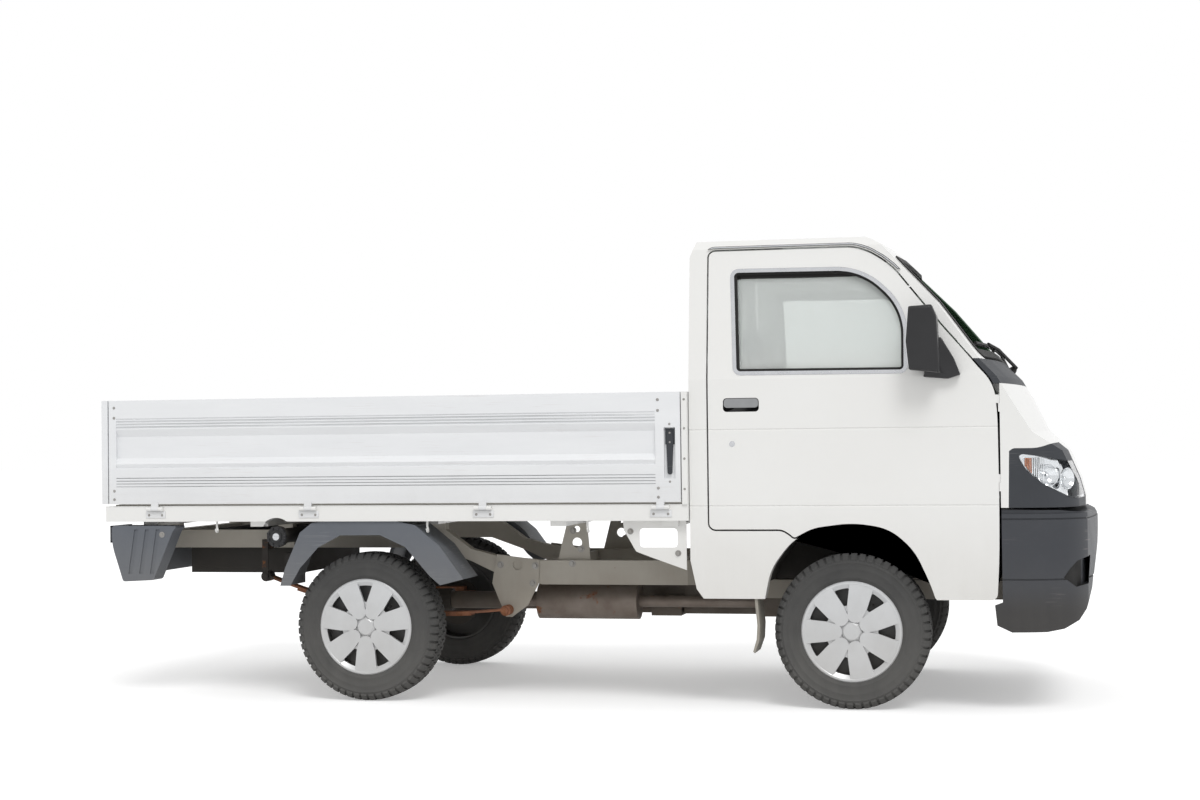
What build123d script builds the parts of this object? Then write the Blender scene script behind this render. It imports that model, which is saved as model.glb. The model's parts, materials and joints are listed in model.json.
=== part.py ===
"""A cab-over mini pickup truck with a flat drop-side load bed.

Millimetres.  X points to the truck's front, Y to its left and Z up.  The origin is on the ground,
below the middle of the truck's length and width.
"""

from build123d import *

import math
import os

os.makedirs("parts", exist_ok=True)

# Overall sizes
WHEELBASE = 1830
FRONT_OVERHANG = 874
REAR_OVERHANG = 1051
CAB_WIDTH = 1395
DECK_WIDTH = 1460
ROOF_TOP = 1728
HINGE_R = 8
TAIL_HINGE_OUT = 3
LENGTH = WHEELBASE + FRONT_OVERHANG + REAR_OVERHANG + TAIL_HINGE_OUT + HINGE_R
REAR_AXLE_X = REAR_OVERHANG + TAIL_HINGE_OUT + HINGE_R - LENGTH / 2
FRONT_AXLE_X = REAR_AXLE_X + WHEELBASE
NOSE_X = FRONT_AXLE_X + FRONT_OVERHANG
TAIL_X = REAR_AXLE_X - REAR_OVERHANG

# Wheels
TYRE_R = 280
TYRE_WIDTH = 165
TRACK = 1200
RIM_R = 165
RIM_WALL = 8
TYRE_SIDES = 48
BEAD_STEP = 25
BEAD_DEPTH = 20
SHOULDER_WIDTH = 26
SHOULDER_FALL = 15
COVER_R = 181
HUB_BORE_R = 15.05
SPINDLE_R = 15
WHEEL_Y = TRACK / 2
AXLE_Z = TYRE_R
COVER_SPOKES = 7

# Clearances
SEAM = 6
MOVING_GAP = 5
SEAT_GAP = 0.3

# Cab
CAB_Y = CAB_WIDTH / 2
CAB_REAR = FRONT_AXLE_X - 578
DOOR_REAR = CAB_REAR + 71
DOOR_FRONT = FRONT_AXLE_X + 525
CAB_BOTTOM = 397
DOOR_BOTTOM = 647
WAIST_Z = 1190
GLASSHOUSE = ROOF_TOP - WAIST_Z
DRAWN_GLASSHOUSE = 538
GUTTER_Z = ROOF_TOP - 60
GUTTER_Y = CAB_Y - 62
DOOR_THICK = 55
ROOF_THICK = 28
REAR_WALL_THICK = 40
REAR_WALL_BOTTOM = 530
NOSE_THICK = 45
SKIN = 6
SCREEN_TOP = ROOF_TOP - 103
SCREEN_BOTTOM = 1250
GLASS_THICK = 6
PLATFORM_Z = 705
FOOTWELL_Z = 455
WHEELHOUSE_Y = 345

# Chassis
RAIL_Y = 400
RAIL_WIDTH = 50
RAIL_REAR_TOP = 635
RAIL_REAR_BOTTOM = 565
RAIL_MID_TOP = 517
RAIL_MID_BOTTOM = 425
FRONT_RAIL_Y = 300
SPRING_WIDTH = 50

# Load bed
DECK_Y = DECK_WIDTH / 2
DECK_FRONT = CAB_REAR - 2
SILL_TOP = 740
SILL_BOTTOM = 680
SILL_Y = DECK_Y - 8
SILL_WIDTH = 45
FLOOR_TOP = 744
FLOOR_THICK = 6
BOARD_BOTTOM = 748
BOARD_TOP = 1148
BOARD_THICK = 25
HEADBOARD_THICK = 20
HINGE_Z = 729
TAIL_HINGE_X = TAIL_X - TAIL_HINGE_OUT
HINGE_Y = DECK_Y + 3


def save(builder, name):
    """Labels a finished sub-part and writes its STEP file."""
    builder.part.label = name
    export_step(builder.part, f"parts/{name}.step")


def face_on(plane, points):
    """A straight-sided face on a plane."""
    with BuildSketch(plane) as face:
        with BuildLine():
            Polyline(*points, close=True)
        make_face()
    return face.sketch


def easing_radii(points, corner_radius):
    """A radius for each corner of an outline: long arcs at slight bends, small ones at real corners."""
    radii = []
    for before, here, after in zip(points[-1:] + points[:-1], points, points[1:] + points[:1]):
        back = Vector(*before) - Vector(*here)
        ahead = Vector(*after) - Vector(*here)
        turn = 180 - back.get_angle(ahead)
        room = 0.45 * min(back.length, ahead.length)
        radius = room / math.tan(math.radians(turn / 2))
        radii.append(min(radius, corner_radius) if turn > 50 else radius)
    return radii


def eased_face(plane, points, corner_radius=20):
    """A face whose outline runs smoothly through its bends."""
    with BuildSketch(plane) as face:
        with BuildLine():
            FilletPolyline(*points, radius=easing_radii(points, corner_radius), close=True)
        make_face()
    return face.sketch


def side_prism(points, y_low, y_high, mode=Mode.ADD):
    """An X-Z outline extruded from y_low to y_high."""
    extrude(face_on(Plane.XZ.offset(-y_high), points), amount=y_high - y_low, mode=mode)


def eased_prism(points, y_low, y_high, mode=Mode.ADD, corner_radius=20):
    """A smooth X-Z outline extruded from y_low to y_high."""
    face = eased_face(Plane.XZ.offset(-y_high), points, corner_radius)
    extrude(face, amount=y_high - y_low, mode=mode)


def front_prism(points, x_low, x_high, mode=Mode.ADD):
    """A Y-Z outline extruded from x_low to x_high."""
    extrude(face_on(Plane.YZ.offset(x_low), points), amount=x_high - x_low, mode=mode)


def plan_prism(points, z_low, z_high, mode=Mode.ADD):
    """An X-Y outline extruded from z_low to z_high."""
    extrude(face_on(Plane.XY.offset(z_low), points), amount=z_high - z_low, mode=mode)


def block(x_low, x_high, y_low, y_high, z_low, z_high, mode=Mode.ADD):
    """A box between two corners."""
    corner = (x_low, y_low, z_low)
    with Locations(corner):
        Box(x_high - x_low, y_high - y_low, z_high - z_low, align=(Align.MIN,) * 3, mode=mode)


def rod_y(x, z, radius, y_low, y_high, mode=Mode.ADD):
    """A cylinder along Y."""
    with Locations(Plane.XZ.offset(-y_high) * Location((x, z, 0))):
        Cylinder(radius, y_high - y_low, align=(Align.CENTER, Align.CENTER, Align.MIN), mode=mode)


def rod_x(y, z, radius, x_low, x_high, mode=Mode.ADD):
    """A cylinder along X."""
    with Locations(Plane.YZ.offset(x_low) * Location((y, z, 0))):
        Cylinder(radius, x_high - x_low, align=(Align.CENTER, Align.CENTER, Align.MIN), mode=mode)


def knuckle_bar(plane, length):
    """A twelve-sided hinge knuckle centred on a plane's origin."""
    with BuildSketch(plane) as section:
        RegularPolygon(HINGE_R, 12)
    extrude(section.sketch, amount=length / 2, both=True)


def rod_z(x, y, radius, z_low, z_high, mode=Mode.ADD):
    """A cylinder along Z."""
    with Locations((x, y, z_low)):
        Cylinder(radius, z_high - z_low, align=(Align.CENTER, Align.CENTER, Align.MIN), mode=mode)


def both_sides():
    """Adds the mirror image of everything so far across the truck's middle plane."""
    mirror(about=Plane.XZ)


def rear(points):
    """Moves outline points given from the rear axle into the truck's frame."""
    return [(REAR_AXLE_X + x, z) for x, z in points]


def height(z):
    """A height on the cab; above the waist it follows the roof."""
    return z if z <= WAIST_Z else WAIST_Z + (z - WAIST_Z) * GLASSHOUSE / DRAWN_GLASSHOUSE


def front(points):
    """Moves outline points given from the front axle into the truck's frame."""
    return [(FRONT_AXLE_X + x, height(z)) for x, z in points]


# ---------------------------------------------------------------------------------------------
# Wheels
# ---------------------------------------------------------------------------------------------

HALF_TYRE = TYRE_WIDTH / 2
BEAD_R = RIM_R + SEAT_GAP
SHOULDER_Y = HALF_TYRE - SHOULDER_WIDTH
RIM_HALF = HALF_TYRE - BEAD_DEPTH + 3
DISC_FACE = 34
RIM_PROFILE = [
    (HUB_BORE_R, DISC_FACE - 8),
    (HUB_BORE_R, DISC_FACE),
    (RIM_R - RIM_WALL, DISC_FACE),
    (RIM_R - RIM_WALL, RIM_HALF),
    (RIM_R, RIM_HALF),
    (RIM_R, -RIM_HALF),
    (RIM_R - RIM_WALL, -RIM_HALF),
    (RIM_R - RIM_WALL, DISC_FACE - 8),
]
WHEEL_BOLTS = 4
WHEEL_BOLT_CIRCLE = 50
COVER_FACE = HALF_TYRE - 4
COVER_DISH = HALF_TYRE - 12
COVER_WALL = 4
BOSS_R = 28
DISH_R = 155
SKIRT_R = RIM_R - 7
COVER_BACK = HALF_TYRE - 10
COVER_PROFILE = [
    (0, COVER_FACE + 2),
    (BOSS_R, COVER_FACE + 2),
    (BOSS_R + 12, COVER_DISH),
    (DISH_R, COVER_DISH),
    (COVER_R - 10, COVER_FACE + 1),
    (COVER_R - 4, COVER_FACE + 1),
    (COVER_R, COVER_BACK + 3),
    (COVER_R, COVER_BACK),
    (SKIRT_R + 5, COVER_BACK),
    (SKIRT_R + 5, RIM_HALF + SEAT_GAP),
    (SKIRT_R, RIM_HALF + SEAT_GAP),
    (SKIRT_R, COVER_DISH - COVER_WALL),
    (0, COVER_DISH - COVER_WALL),
]
# A petal widens from its round inner end towards the rim.
PETAL = [(62, -28), (92, -36), (COVER_R - 9, -44), (COVER_R - 9, 44), (92, 36), (62, 28)]
PETAL_END_R = 28
WINDOW_INNER_R = 94
WINDOW_OUTER_R = 156
WINDOW_FILLET = 5


def wheel_plane(axle_x, side):
    """A plane at the wheel's centre whose local Y points outwards along the spin axis."""
    centre = (axle_x, side * WHEEL_Y, AXLE_Z)
    return Plane(origin=centre, x_dir=(1, 0, 0), z_dir=(0, 0, side))


def wheel_face(axle_x, side, outwards, way=1):
    """A plane square to the spin axis, a distance outwards from the wheel's centre."""
    centre = (axle_x, side * (WHEEL_Y + outwards), AXLE_Z)
    return Plane(origin=centre, x_dir=(1, 0, 0), z_dir=(0, side * way, 0))


def turned(plane, profile):
    """Revolves a (radius, outward) profile about the wheel's spin axis."""
    revolve(face_on(plane, profile), axis=Axis(plane.origin, plane.y_dir))


def draw_petals(first_angle, mode=Mode.ADD):
    """Draws the cover's petals into the sketch in work."""
    with PolarLocations(0, COVER_SPOKES, start_angle=first_angle):
        Polygon(*PETAL, align=None, mode=mode)
    with PolarLocations(PETAL[0][0], COVER_SPOKES, start_angle=first_angle):
        Circle(PETAL_END_R, mode=mode)


def petal_sketch(plane, first_angle):
    """The cover's petals on a plane."""
    with BuildSketch(plane) as petals:
        draw_petals(first_angle)
        Circle(COVER_R - 9, mode=Mode.INTERSECT)
    return petals.sketch


def window_sketch(plane, first_angle):
    """The openings between the petals."""
    with BuildSketch(plane) as windows:
        Circle(WINDOW_OUTER_R)
        Circle(WINDOW_INNER_R, mode=Mode.SUBTRACT)
        draw_petals(first_angle, mode=Mode.SUBTRACT)
        fillet(windows.vertices(), WINDOW_FILLET)
    return windows.sketch


for axle_name, axle_x in (("front", FRONT_AXLE_X), ("rear", REAR_AXLE_X)):
    for side_name, side in (("left", 1), ("right", -1)):
        where = f"{axle_name}_{side_name}"
        plane = wheel_plane(axle_x, side)
        # The tread is many-sided, which keeps the four tyres light.
        with BuildPart() as tyre:
            with BuildSketch(wheel_face(axle_x, side, 0)):
                RegularPolygon(TYRE_R, TYRE_SIDES)
            extrude(amount=SHOULDER_Y, both=True)
            for way in (1, -1):
                with BuildSketch(wheel_face(axle_x, side, way * SHOULDER_Y, way)):
                    RegularPolygon(TYRE_R, TYRE_SIDES)
                fall = math.degrees(math.atan(SHOULDER_FALL / SHOULDER_WIDTH))
                extrude(amount=SHOULDER_WIDTH, taper=fall)
            for way in (1, -1):
                with BuildSketch(wheel_face(axle_x, side, way * HALF_TYRE, way)):
                    RegularPolygon(RIM_R + BEAD_STEP, TYRE_SIDES)
                extrude(amount=-BEAD_DEPTH, mode=Mode.SUBTRACT)
            with BuildSketch(wheel_face(axle_x, side, 0)):
                Circle(BEAD_R)
            extrude(amount=TYRE_WIDTH, both=True, mode=Mode.SUBTRACT)
        save(tyre, f"tyre_{where}")
        with BuildPart() as rim:
            turned(plane, RIM_PROFILE)
            with BuildSketch(wheel_face(axle_x, side, DISC_FACE)):
                with PolarLocations(WHEEL_BOLT_CIRCLE, WHEEL_BOLTS, start_angle=45):
                    RegularPolygon(11, 6)
            extrude(amount=14)
        save(rim, f"rim_{where}")
        first = 180 / COVER_SPOKES if axle_name == "front" else 90 * side
        with BuildPart() as cover:
            turned(plane, COVER_PROFILE)
            petals = petal_sketch(wheel_face(axle_x, side, COVER_DISH), first)
            extrude(petals, amount=COVER_FACE - COVER_DISH)
            windows = window_sketch(wheel_face(axle_x, side, RIM_HALF), first)
            extrude(windows, amount=HALF_TYRE, mode=Mode.SUBTRACT)
        save(cover, f"cover_{where}")


# ---------------------------------------------------------------------------------------------
# Chassis
# ---------------------------------------------------------------------------------------------

RAIL_FRONT = 690
RAIL_FRONT_TOP = 440
RAIL_FRONT_BOTTOM = 370
RAIL_ABOVE = rear([(-1000, RAIL_REAR_BOTTOM), (-1000, RAIL_REAR_TOP), (240, RAIL_REAR_TOP), (344, 560),
                   (464, 530), (622, RAIL_MID_TOP)])
RAIL_NOSE = front([(-575, RAIL_MID_TOP), (-410, RAIL_FRONT_TOP), (RAIL_FRONT, RAIL_FRONT_TOP),
                   (RAIL_FRONT, RAIL_FRONT_BOTTOM), (-430, RAIL_FRONT_BOTTOM), (-590, RAIL_MID_BOTTOM)])
RAIL_BELOW = rear([(626, RAIL_MID_BOTTOM), (432, 473), (344, 514), (200, RAIL_REAR_BOTTOM)])
RAIL_SIDE = RAIL_ABOVE + RAIL_NOSE + RAIL_BELOW
RAIL_END_X = FRONT_AXLE_X + RAIL_FRONT
RAIL_PLAN = [
    (REAR_AXLE_X - 1000, RAIL_Y - RAIL_WIDTH / 2),
    (REAR_AXLE_X - 1000, RAIL_Y + RAIL_WIDTH / 2),
    (CAB_REAR - 60, RAIL_Y + RAIL_WIDTH / 2),
    (CAB_REAR + 140, FRONT_RAIL_Y + RAIL_WIDTH / 2),
    (RAIL_END_X, FRONT_RAIL_Y + RAIL_WIDTH / 2),
    (RAIL_END_X, FRONT_RAIL_Y - RAIL_WIDTH / 2),
    (CAB_REAR + 140, FRONT_RAIL_Y - RAIL_WIDTH / 2),
    (CAB_REAR - 60, RAIL_Y - RAIL_WIDTH / 2),
]
HANGER = rear([(448, 540), (617, 519), (612, 428), (569, 345), (506, 300), (482, 300), (428, 430)])
HANGER_HOLE = (REAR_AXLE_X + 530, 499)
SPRING_FRONT = (REAR_AXLE_X + 493, 328)
SPRING_REAR = (REAR_AXLE_X - 480, 455)
PILLAR = rear([(721, 660), (799, 660), (812, 517), (684, 517)])
PILLAR_X = REAR_AXLE_X + 760
OUTER_RAIL_Y = RAIL_Y + RAIL_WIDTH / 2
PLATE_THICK = 5
SPRING_Y = OUTER_RAIL_Y + PLATE_THICK + SEAT_GAP + SPRING_WIDTH / 2
BEARER_BOTTOM = 660
GEARBOX_TOP = 460
GEARBOX_MOUNT_X = FRONT_AXLE_X - 680
GEARBOX_REAR = FRONT_AXLE_X - 930
ENGINE_REAR = FRONT_AXLE_X - 400
ENGINE_FRONT = FRONT_AXLE_X - 30
ENGINE_BOTTOM = 290
PINION_Z = 330
PINION_LENGTH = 140
BEARER_TOP = FLOOR_TOP - FLOOR_THICK - SEAT_GAP
BEARER_X = [REAR_AXLE_X + x for x in (-900, -420, 210)] + [PILLAR_X, DECK_FRONT - 70]
BEARER_WIDTH = 60
BEARER_REACH = (DECK_Y - 110, SILL_Y - 20, WHEEL_Y - HALF_TYRE - 2.5, SILL_Y - 20, SILL_Y - 20)

with BuildPart() as frame:
    side_prism(RAIL_SIDE, FRONT_RAIL_Y - RAIL_WIDTH, OUTER_RAIL_Y + RAIL_WIDTH)
    with BuildPart(mode=Mode.PRIVATE) as rail_plan:
        plan_prism(RAIL_PLAN, 300, 700)
    add(rail_plan.part, mode=Mode.INTERSECT)
    # Spring hangers and bed pillars stand on the rail's outer face.
    side_prism(HANGER, OUTER_RAIL_Y, OUTER_RAIL_Y + PLATE_THICK)
    rod_y(*HANGER_HOLE, 19, OUTER_RAIL_Y - 1, OUTER_RAIL_Y + PLATE_THICK + 1, mode=Mode.SUBTRACT)
    side_prism(PILLAR, OUTER_RAIL_Y - RAIL_WIDTH / 2, OUTER_RAIL_Y - RAIL_WIDTH / 2 + PLATE_THICK)
    rod_y(PILLAR_X, 584, 19, RAIL_Y - 1, OUTER_RAIL_Y, mode=Mode.SUBTRACT)
    rod_y(PILLAR_X, 636, 12, RAIL_Y - 1, OUTER_RAIL_Y, mode=Mode.SUBTRACT)
    for x in BEARER_X[:3]:
        block(x - 30, x + 30, RAIL_Y - 20, RAIL_Y + 20, RAIL_REAR_TOP, BEARER_BOTTOM)
    # The cab stands on a pad under its rear wall and one under each footwell.
    pad_y = RAIL_Y - 40
    block(CAB_REAR + 4, CAB_REAR + 36, pad_y - 25, pad_y + 25, 480, REAR_WALL_BOTTOM - SEAT_GAP)
    block(FRONT_AXLE_X + 240, FRONT_AXLE_X + 300, FRONT_RAIL_Y - 22, FRONT_RAIL_Y + 22,
          RAIL_FRONT_TOP - 10, FOOTWELL_Z - SKIN - SEAT_GAP)
    both_sides()
    rear_low, rear_high = RAIL_REAR_BOTTOM + 5, RAIL_REAR_TOP - 5
    mid_low, mid_high = RAIL_MID_BOTTOM + 5, RAIL_MID_TOP - 7
    for x_at, z_low, z_high in (
        (REAR_AXLE_X - 970, rear_low, rear_high),
        (REAR_AXLE_X - 300, rear_low, rear_high),
        (REAR_AXLE_X + 640, mid_low, mid_high),
        (GEARBOX_MOUNT_X, GEARBOX_TOP + SEAT_GAP, RAIL_MID_TOP - 2),
    ):
        block(x_at - 25, x_at + 25, -RAIL_Y, RAIL_Y, z_low, z_high)
    for x_at in (FRONT_AXLE_X + 50, RAIL_END_X - 40):
        block(x_at - 25, x_at + 25, -FRONT_RAIL_Y, FRONT_RAIL_Y, RAIL_FRONT_BOTTOM + 5, RAIL_FRONT_TOP - 5)
save(frame, "frame")

HINGE_STATIONS = [REAR_AXLE_X + x for x in (-830, -206, 480)] + [DECK_FRONT - 100]
TAIL_HINGES = (-560, 0, 560)
FILLER = (REAR_AXLE_X - 338, 622)
FILLER_NOTCH_R = 72
PLATE_REAR = DECK_FRONT - 250
SUPPORT_PLATE = [(PLATE_REAR, SILL_BOTTOM + 2), (PLATE_REAR + 236, SILL_BOTTOM + 2), (PLATE_REAR + 236, 499),
                 (PLATE_REAR + 105, 545), (PLATE_REAR + 49, 566), (PLATE_REAR + 4, 643)]
PLATE_WINDOW = [(PLATE_REAR + 61, 581), (PLATE_REAR + 203, 581), (PLATE_REAR + 203, 651),
                (PLATE_REAR + 61, 651)]

with BuildPart() as bed_frame:
    block(BEARER_X[0], BEARER_X[4], RAIL_Y - 20, RAIL_Y + 20, BEARER_TOP - 45, BEARER_TOP)
    for x, reach in zip(BEARER_X, BEARER_REACH):
        block(x - BEARER_WIDTH / 2, x + BEARER_WIDTH / 2, -reach, reach, BEARER_BOTTOM, BEARER_TOP)
    block(TAIL_X + 12, DECK_FRONT, SILL_Y - SILL_WIDTH, SILL_Y, SILL_BOTTOM, SILL_TOP)
    # A pressed plate with a rounded window hangs from the sill behind the cab.
    side_prism(SUPPORT_PLATE, SILL_Y - 42, SILL_Y - 37)
    eased_prism(PLATE_WINDOW, SILL_Y - 43, SILL_Y - 36, mode=Mode.SUBTRACT, corner_radius=14)
    for x_at in HINGE_STATIONS:
        for end in (-1, 1):
            middle = x_at + end * 24
            knuckle_bar(Plane(origin=(middle, HINGE_Y, HINGE_Z), z_dir=(1, 0, 0)), 18)
            block(middle - 9, middle + 9, SILL_Y - 1, HINGE_Y, HINGE_Z - 6, HINGE_Z + 2)
    both_sides()
    # The right sill is notched above the fuel filler.
    rod_y(*FILLER, FILLER_NOTCH_R, -SILL_Y - 1, SILL_WIDTH + 1 - SILL_Y, mode=Mode.SUBTRACT)
    block(TAIL_X + 12, TAIL_X + 52, -SILL_Y + 10, SILL_Y - 10, SILL_BOTTOM, SILL_TOP - 4)
    block(DECK_FRONT - 40, DECK_FRONT, -SILL_Y + 10, SILL_Y - 10, SILL_BOTTOM, SILL_TOP - 4)
    for y in TAIL_HINGES:
        for end in (-1, 1):
            middle = y + end * 24
            knuckle_bar(Plane(origin=(TAIL_HINGE_X, middle, HINGE_Z), z_dir=(0, 1, 0)), 18)
            block(TAIL_HINGE_X, TAIL_X + 14, middle - 9, middle + 9, HINGE_Z - 6, HINGE_Z + 2)
save(bed_frame, "bed_frame")

with BuildPart() as bed_floor:
    floor_y = SILL_Y - SILL_WIDTH - 1
    block(TAIL_X + BOARD_THICK + 6, DECK_FRONT - HEADBOARD_THICK - 1, -floor_y, floor_y,
          FLOOR_TOP - FLOOR_THICK, FLOOR_TOP)
save(bed_floor, "bed_floor")

# ---------------------------------------------------------------------------------------------
# Load bed
# ---------------------------------------------------------------------------------------------

GROOVES_LOW = (815, 826, 837, 848)
GROOVES_HIGH = (1042, 1053, 1064, 1075)
GROOVE_DEPTH = 2.5
GROOVE_HALF = 2
RECESS_DEPTH = 14


def board_profile(outer, inward):
    """The extruded side board's (y, z) section, from its outer face towards the bed."""
    depths = [(0, BOARD_BOTTOM)]
    for z in GROOVES_LOW:
        depths += [(0, z - GROOVE_HALF), (GROOVE_DEPTH, z), (0, z + GROOVE_HALF)]
    depths += [(0, 884), (6, 888), (0, 902), (RECESS_DEPTH, 925), (RECESS_DEPTH, 1008), (0, 1036)]
    for z in GROOVES_HIGH:
        depths += [(0, z - GROOVE_HALF), (GROOVE_DEPTH, z), (0, z + GROOVE_HALF)]
    depths += [(0, BOARD_TOP), (BOARD_THICK, BOARD_TOP), (BOARD_THICK, BOARD_BOTTOM)]
    return [(outer + inward * depth, z) for depth, z in depths]


BOARD_REAR = TAIL_X + BOARD_THICK + MOVING_GAP
BOARD_FRONT = DECK_FRONT - HEADBOARD_THICK - MOVING_GAP
REAR_CAP = 30
FRONT_CAP = 92
LATCH_X = BOARD_FRONT - 60
LATCH_BOTTOM = 834
LATCH_TOP = 1019
LATCH_DEPTH = 12
KNUCKLE_HALF = 14.5

for side_name, side in (("left", 1), ("right", -1)):
    outer = side * DECK_Y
    inner = side * (DECK_Y - BOARD_THICK)
    low, high = min(outer, inner), max(outer, inner)
    pocket = sorted((outer + side, outer - side * LATCH_DEPTH))
    with BuildPart() as dropside:
        front_prism(board_profile(outer, -side), BOARD_REAR + REAR_CAP, BOARD_FRONT - FRONT_CAP)
        block(BOARD_REAR, BOARD_REAR + REAR_CAP, low, high, BOARD_BOTTOM, BOARD_TOP)
        block(BOARD_FRONT - FRONT_CAP, BOARD_FRONT, low, high, BOARD_BOTTOM, BOARD_TOP)
        block(LATCH_X, LATCH_X + 42, *pocket, LATCH_BOTTOM, LATCH_TOP, mode=Mode.SUBTRACT)
        for x in HINGE_STATIONS:
            knuckle_bar(Plane(origin=(x, side * HINGE_Y, HINGE_Z), z_dir=(1, 0, 0)), 2 * KNUCKLE_HALF)
            leaf = sorted((side * (HINGE_Y - 5), side * (HINGE_Y + 2)))
            block(x - KNUCKLE_HALF, x + KNUCKLE_HALF, *leaf, HINGE_Z + 4, BOARD_BOTTOM + 6)
    save(dropside, f"dropside_{side_name}")
    with BuildPart() as latch:
        grip = sorted((outer - side * (LATCH_DEPTH - SEAT_GAP), outer - side * 3))
        root = sorted((outer - side * (LATCH_DEPTH - SEAT_GAP), outer - side * 7))
        block(LATCH_X + 4, LATCH_X + 38, *root, LATCH_TOP - 62, LATCH_TOP - 4)
        eased_prism([(LATCH_X + 12, LATCH_BOTTOM + 14), (LATCH_X + 28, LATCH_BOTTOM + 14),
                     (LATCH_X + 34, LATCH_TOP - 40), (LATCH_X + 28, LATCH_TOP - 10),
                     (LATCH_X + 14, LATCH_TOP - 10), (LATCH_X + 8, LATCH_TOP - 40)], *grip)
    save(latch, f"latch_{side_name}")

with BuildPart() as tailgate:
    profile = [(TAIL_X + y - DECK_Y, z) for y, z in board_profile(DECK_Y, 1)]
    side_prism(profile, -DECK_Y + REAR_CAP, DECK_Y - REAR_CAP)
    block(TAIL_X, TAIL_X + BOARD_THICK, -DECK_Y, -DECK_Y + REAR_CAP, BOARD_BOTTOM, BOARD_TOP)
    block(TAIL_X, TAIL_X + BOARD_THICK, DECK_Y - REAR_CAP, DECK_Y, BOARD_BOTTOM, BOARD_TOP)
    for y in TAIL_HINGES:
        knuckle_bar(Plane(origin=(TAIL_HINGE_X, y, HINGE_Z), z_dir=(0, 1, 0)), 2 * KNUCKLE_HALF)
        block(TAIL_HINGE_X - 2, TAIL_HINGE_X + 5, y - KNUCKLE_HALF, y + KNUCKLE_HALF,
              HINGE_Z + 4, BOARD_BOTTOM + 6)
save(tailgate, "tailgate")

with BuildPart() as headboard:
    wall = DECK_FRONT - HEADBOARD_THICK
    block(wall, DECK_FRONT, -DECK_Y, DECK_Y, SILL_TOP + SEAT_GAP, BOARD_TOP)
    block(wall - 1, DECK_FRONT - 6, -DECK_Y + 60, -40, 800, 1090, mode=Mode.SUBTRACT)
    block(wall - 1, DECK_FRONT - 6, 40, DECK_Y - 60, 800, 1090, mode=Mode.SUBTRACT)
save(headboard, "headboard")

GUARD_TOP = SILL_BOTTOM - SEAT_GAP
MUDGUARD_OUTER = rear([(-326, 436), (-306, 504), (-246, 637), (-198, 674), (-146, GUARD_TOP), (132, GUARD_TOP),
                       (210, 665), (307, 586), (397, 464)])
MUDGUARD_INNER = rear([(307, 441), (268, 474), (171, 584), (73, 628), (-86, 627),
                       (-174, 581), (-246, 504), (-286, 436)])
FLAP_X = FRONT_AXLE_X - 342

GUARD_LIP = 5
GUARD_UNDER = rear([(-300, 470), (-238, 632), (-190, 668), (-140, 674), (128, 674), (205, 659), (302, 580),
                    (380, 470), (300, 400), (-300, 400)])
FLAP = [(FLAP_X - 4, CAB_BOTTOM - SEAT_GAP), (FLAP_X + 6, CAB_BOTTOM - SEAT_GAP), (FLAP_X + 14, 300),
        (FLAP_X + 11, 247), (FLAP_X - 6, 200), (FLAP_X - 12, 206), (FLAP_X + 1, 250), (FLAP_X + 4, 300)]

with BuildPart() as mudguards:
    side_prism(MUDGUARD_OUTER + MUDGUARD_INNER, DECK_Y - 20, DECK_Y - 20 + GUARD_LIP)
    side_prism(MUDGUARD_OUTER + MUDGUARD_INNER, 520, DECK_Y - 20)
    side_prism(GUARD_UNDER, 519, DECK_Y - 20, mode=Mode.SUBTRACT)
    side_prism(FLAP, 540, CAB_Y - 8)
    both_sides()
save(mudguards, "mudguards")

CORNER = rear([(-1018, 665), (-747, 663), (-764, 644), (-846, 455), (-972, 449), (-993, 514), (-1018, 591)])

with BuildPart() as rear_bumper:
    eased_prism(CORNER, DECK_Y - 100, DECK_Y - 15, corner_radius=12)
    # Three grooves leave upright ribs on each corner's side.
    for x in (-950, -905, -860):
        groove = rear([(x, 480), (x + 16, 480), (x + 42, 650), (x + 26, 650)])
        side_prism(groove, DECK_Y - 19, DECK_Y - 14, mode=Mode.SUBTRACT)
    beam_top = RAIL_REAR_BOTTOM - SEAT_GAP
    side_prism(rear([(-1010, beam_top), (-950, beam_top), (-950, 470), (-985, 470)]), 0, DECK_Y - 100)
    both_sides()
save(rear_bumper, "rear_bumper")

with BuildPart() as rear_lamps:
    for y in (-600, 600):
        block(REAR_AXLE_X - 1040, REAR_AXLE_X - 1018 - SEAT_GAP, y - 75, y + 75, 600, 660)
save(rear_lamps, "rear_lamps")

# ---------------------------------------------------------------------------------------------
# Running gear
# ---------------------------------------------------------------------------------------------

LEAF_THICK = 8
LEAF_SHARES = (1, 0.72, 0.45)
SPRING_THICK = LEAF_THICK * len(LEAF_SHARES)
AXLE_TUBE_R = 34
SPRING_PAD_Z = AXLE_Z + AXLE_TUBE_R
EYE_R = 20
SHACKLE_TOP = RAIL_REAR_BOTTOM + 35

with BuildPart(mode=Mode.PRIVATE):
    with BuildLine(Plane.XZ, mode=Mode.PRIVATE) as spine:
        under_main = SPRING_PAD_Z + 2 * SEAT_GAP + SPRING_THICK - LEAF_THICK
        ThreePointArc(SPRING_FRONT, (REAR_AXLE_X, under_main), SPRING_REAR)
SPINE_ARC = spine.edges()[0]
SPINE_CENTRE = SPINE_ARC.arc_center
SPINE_R = SPINE_ARC.radius


def leaf_angle(point):
    """The direction from the springs' centre of curvature to a point, in degrees."""
    return math.degrees(math.atan2(point[1] - SPINE_CENTRE.Z, point[0] - SPINE_CENTRE.X))


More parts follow.
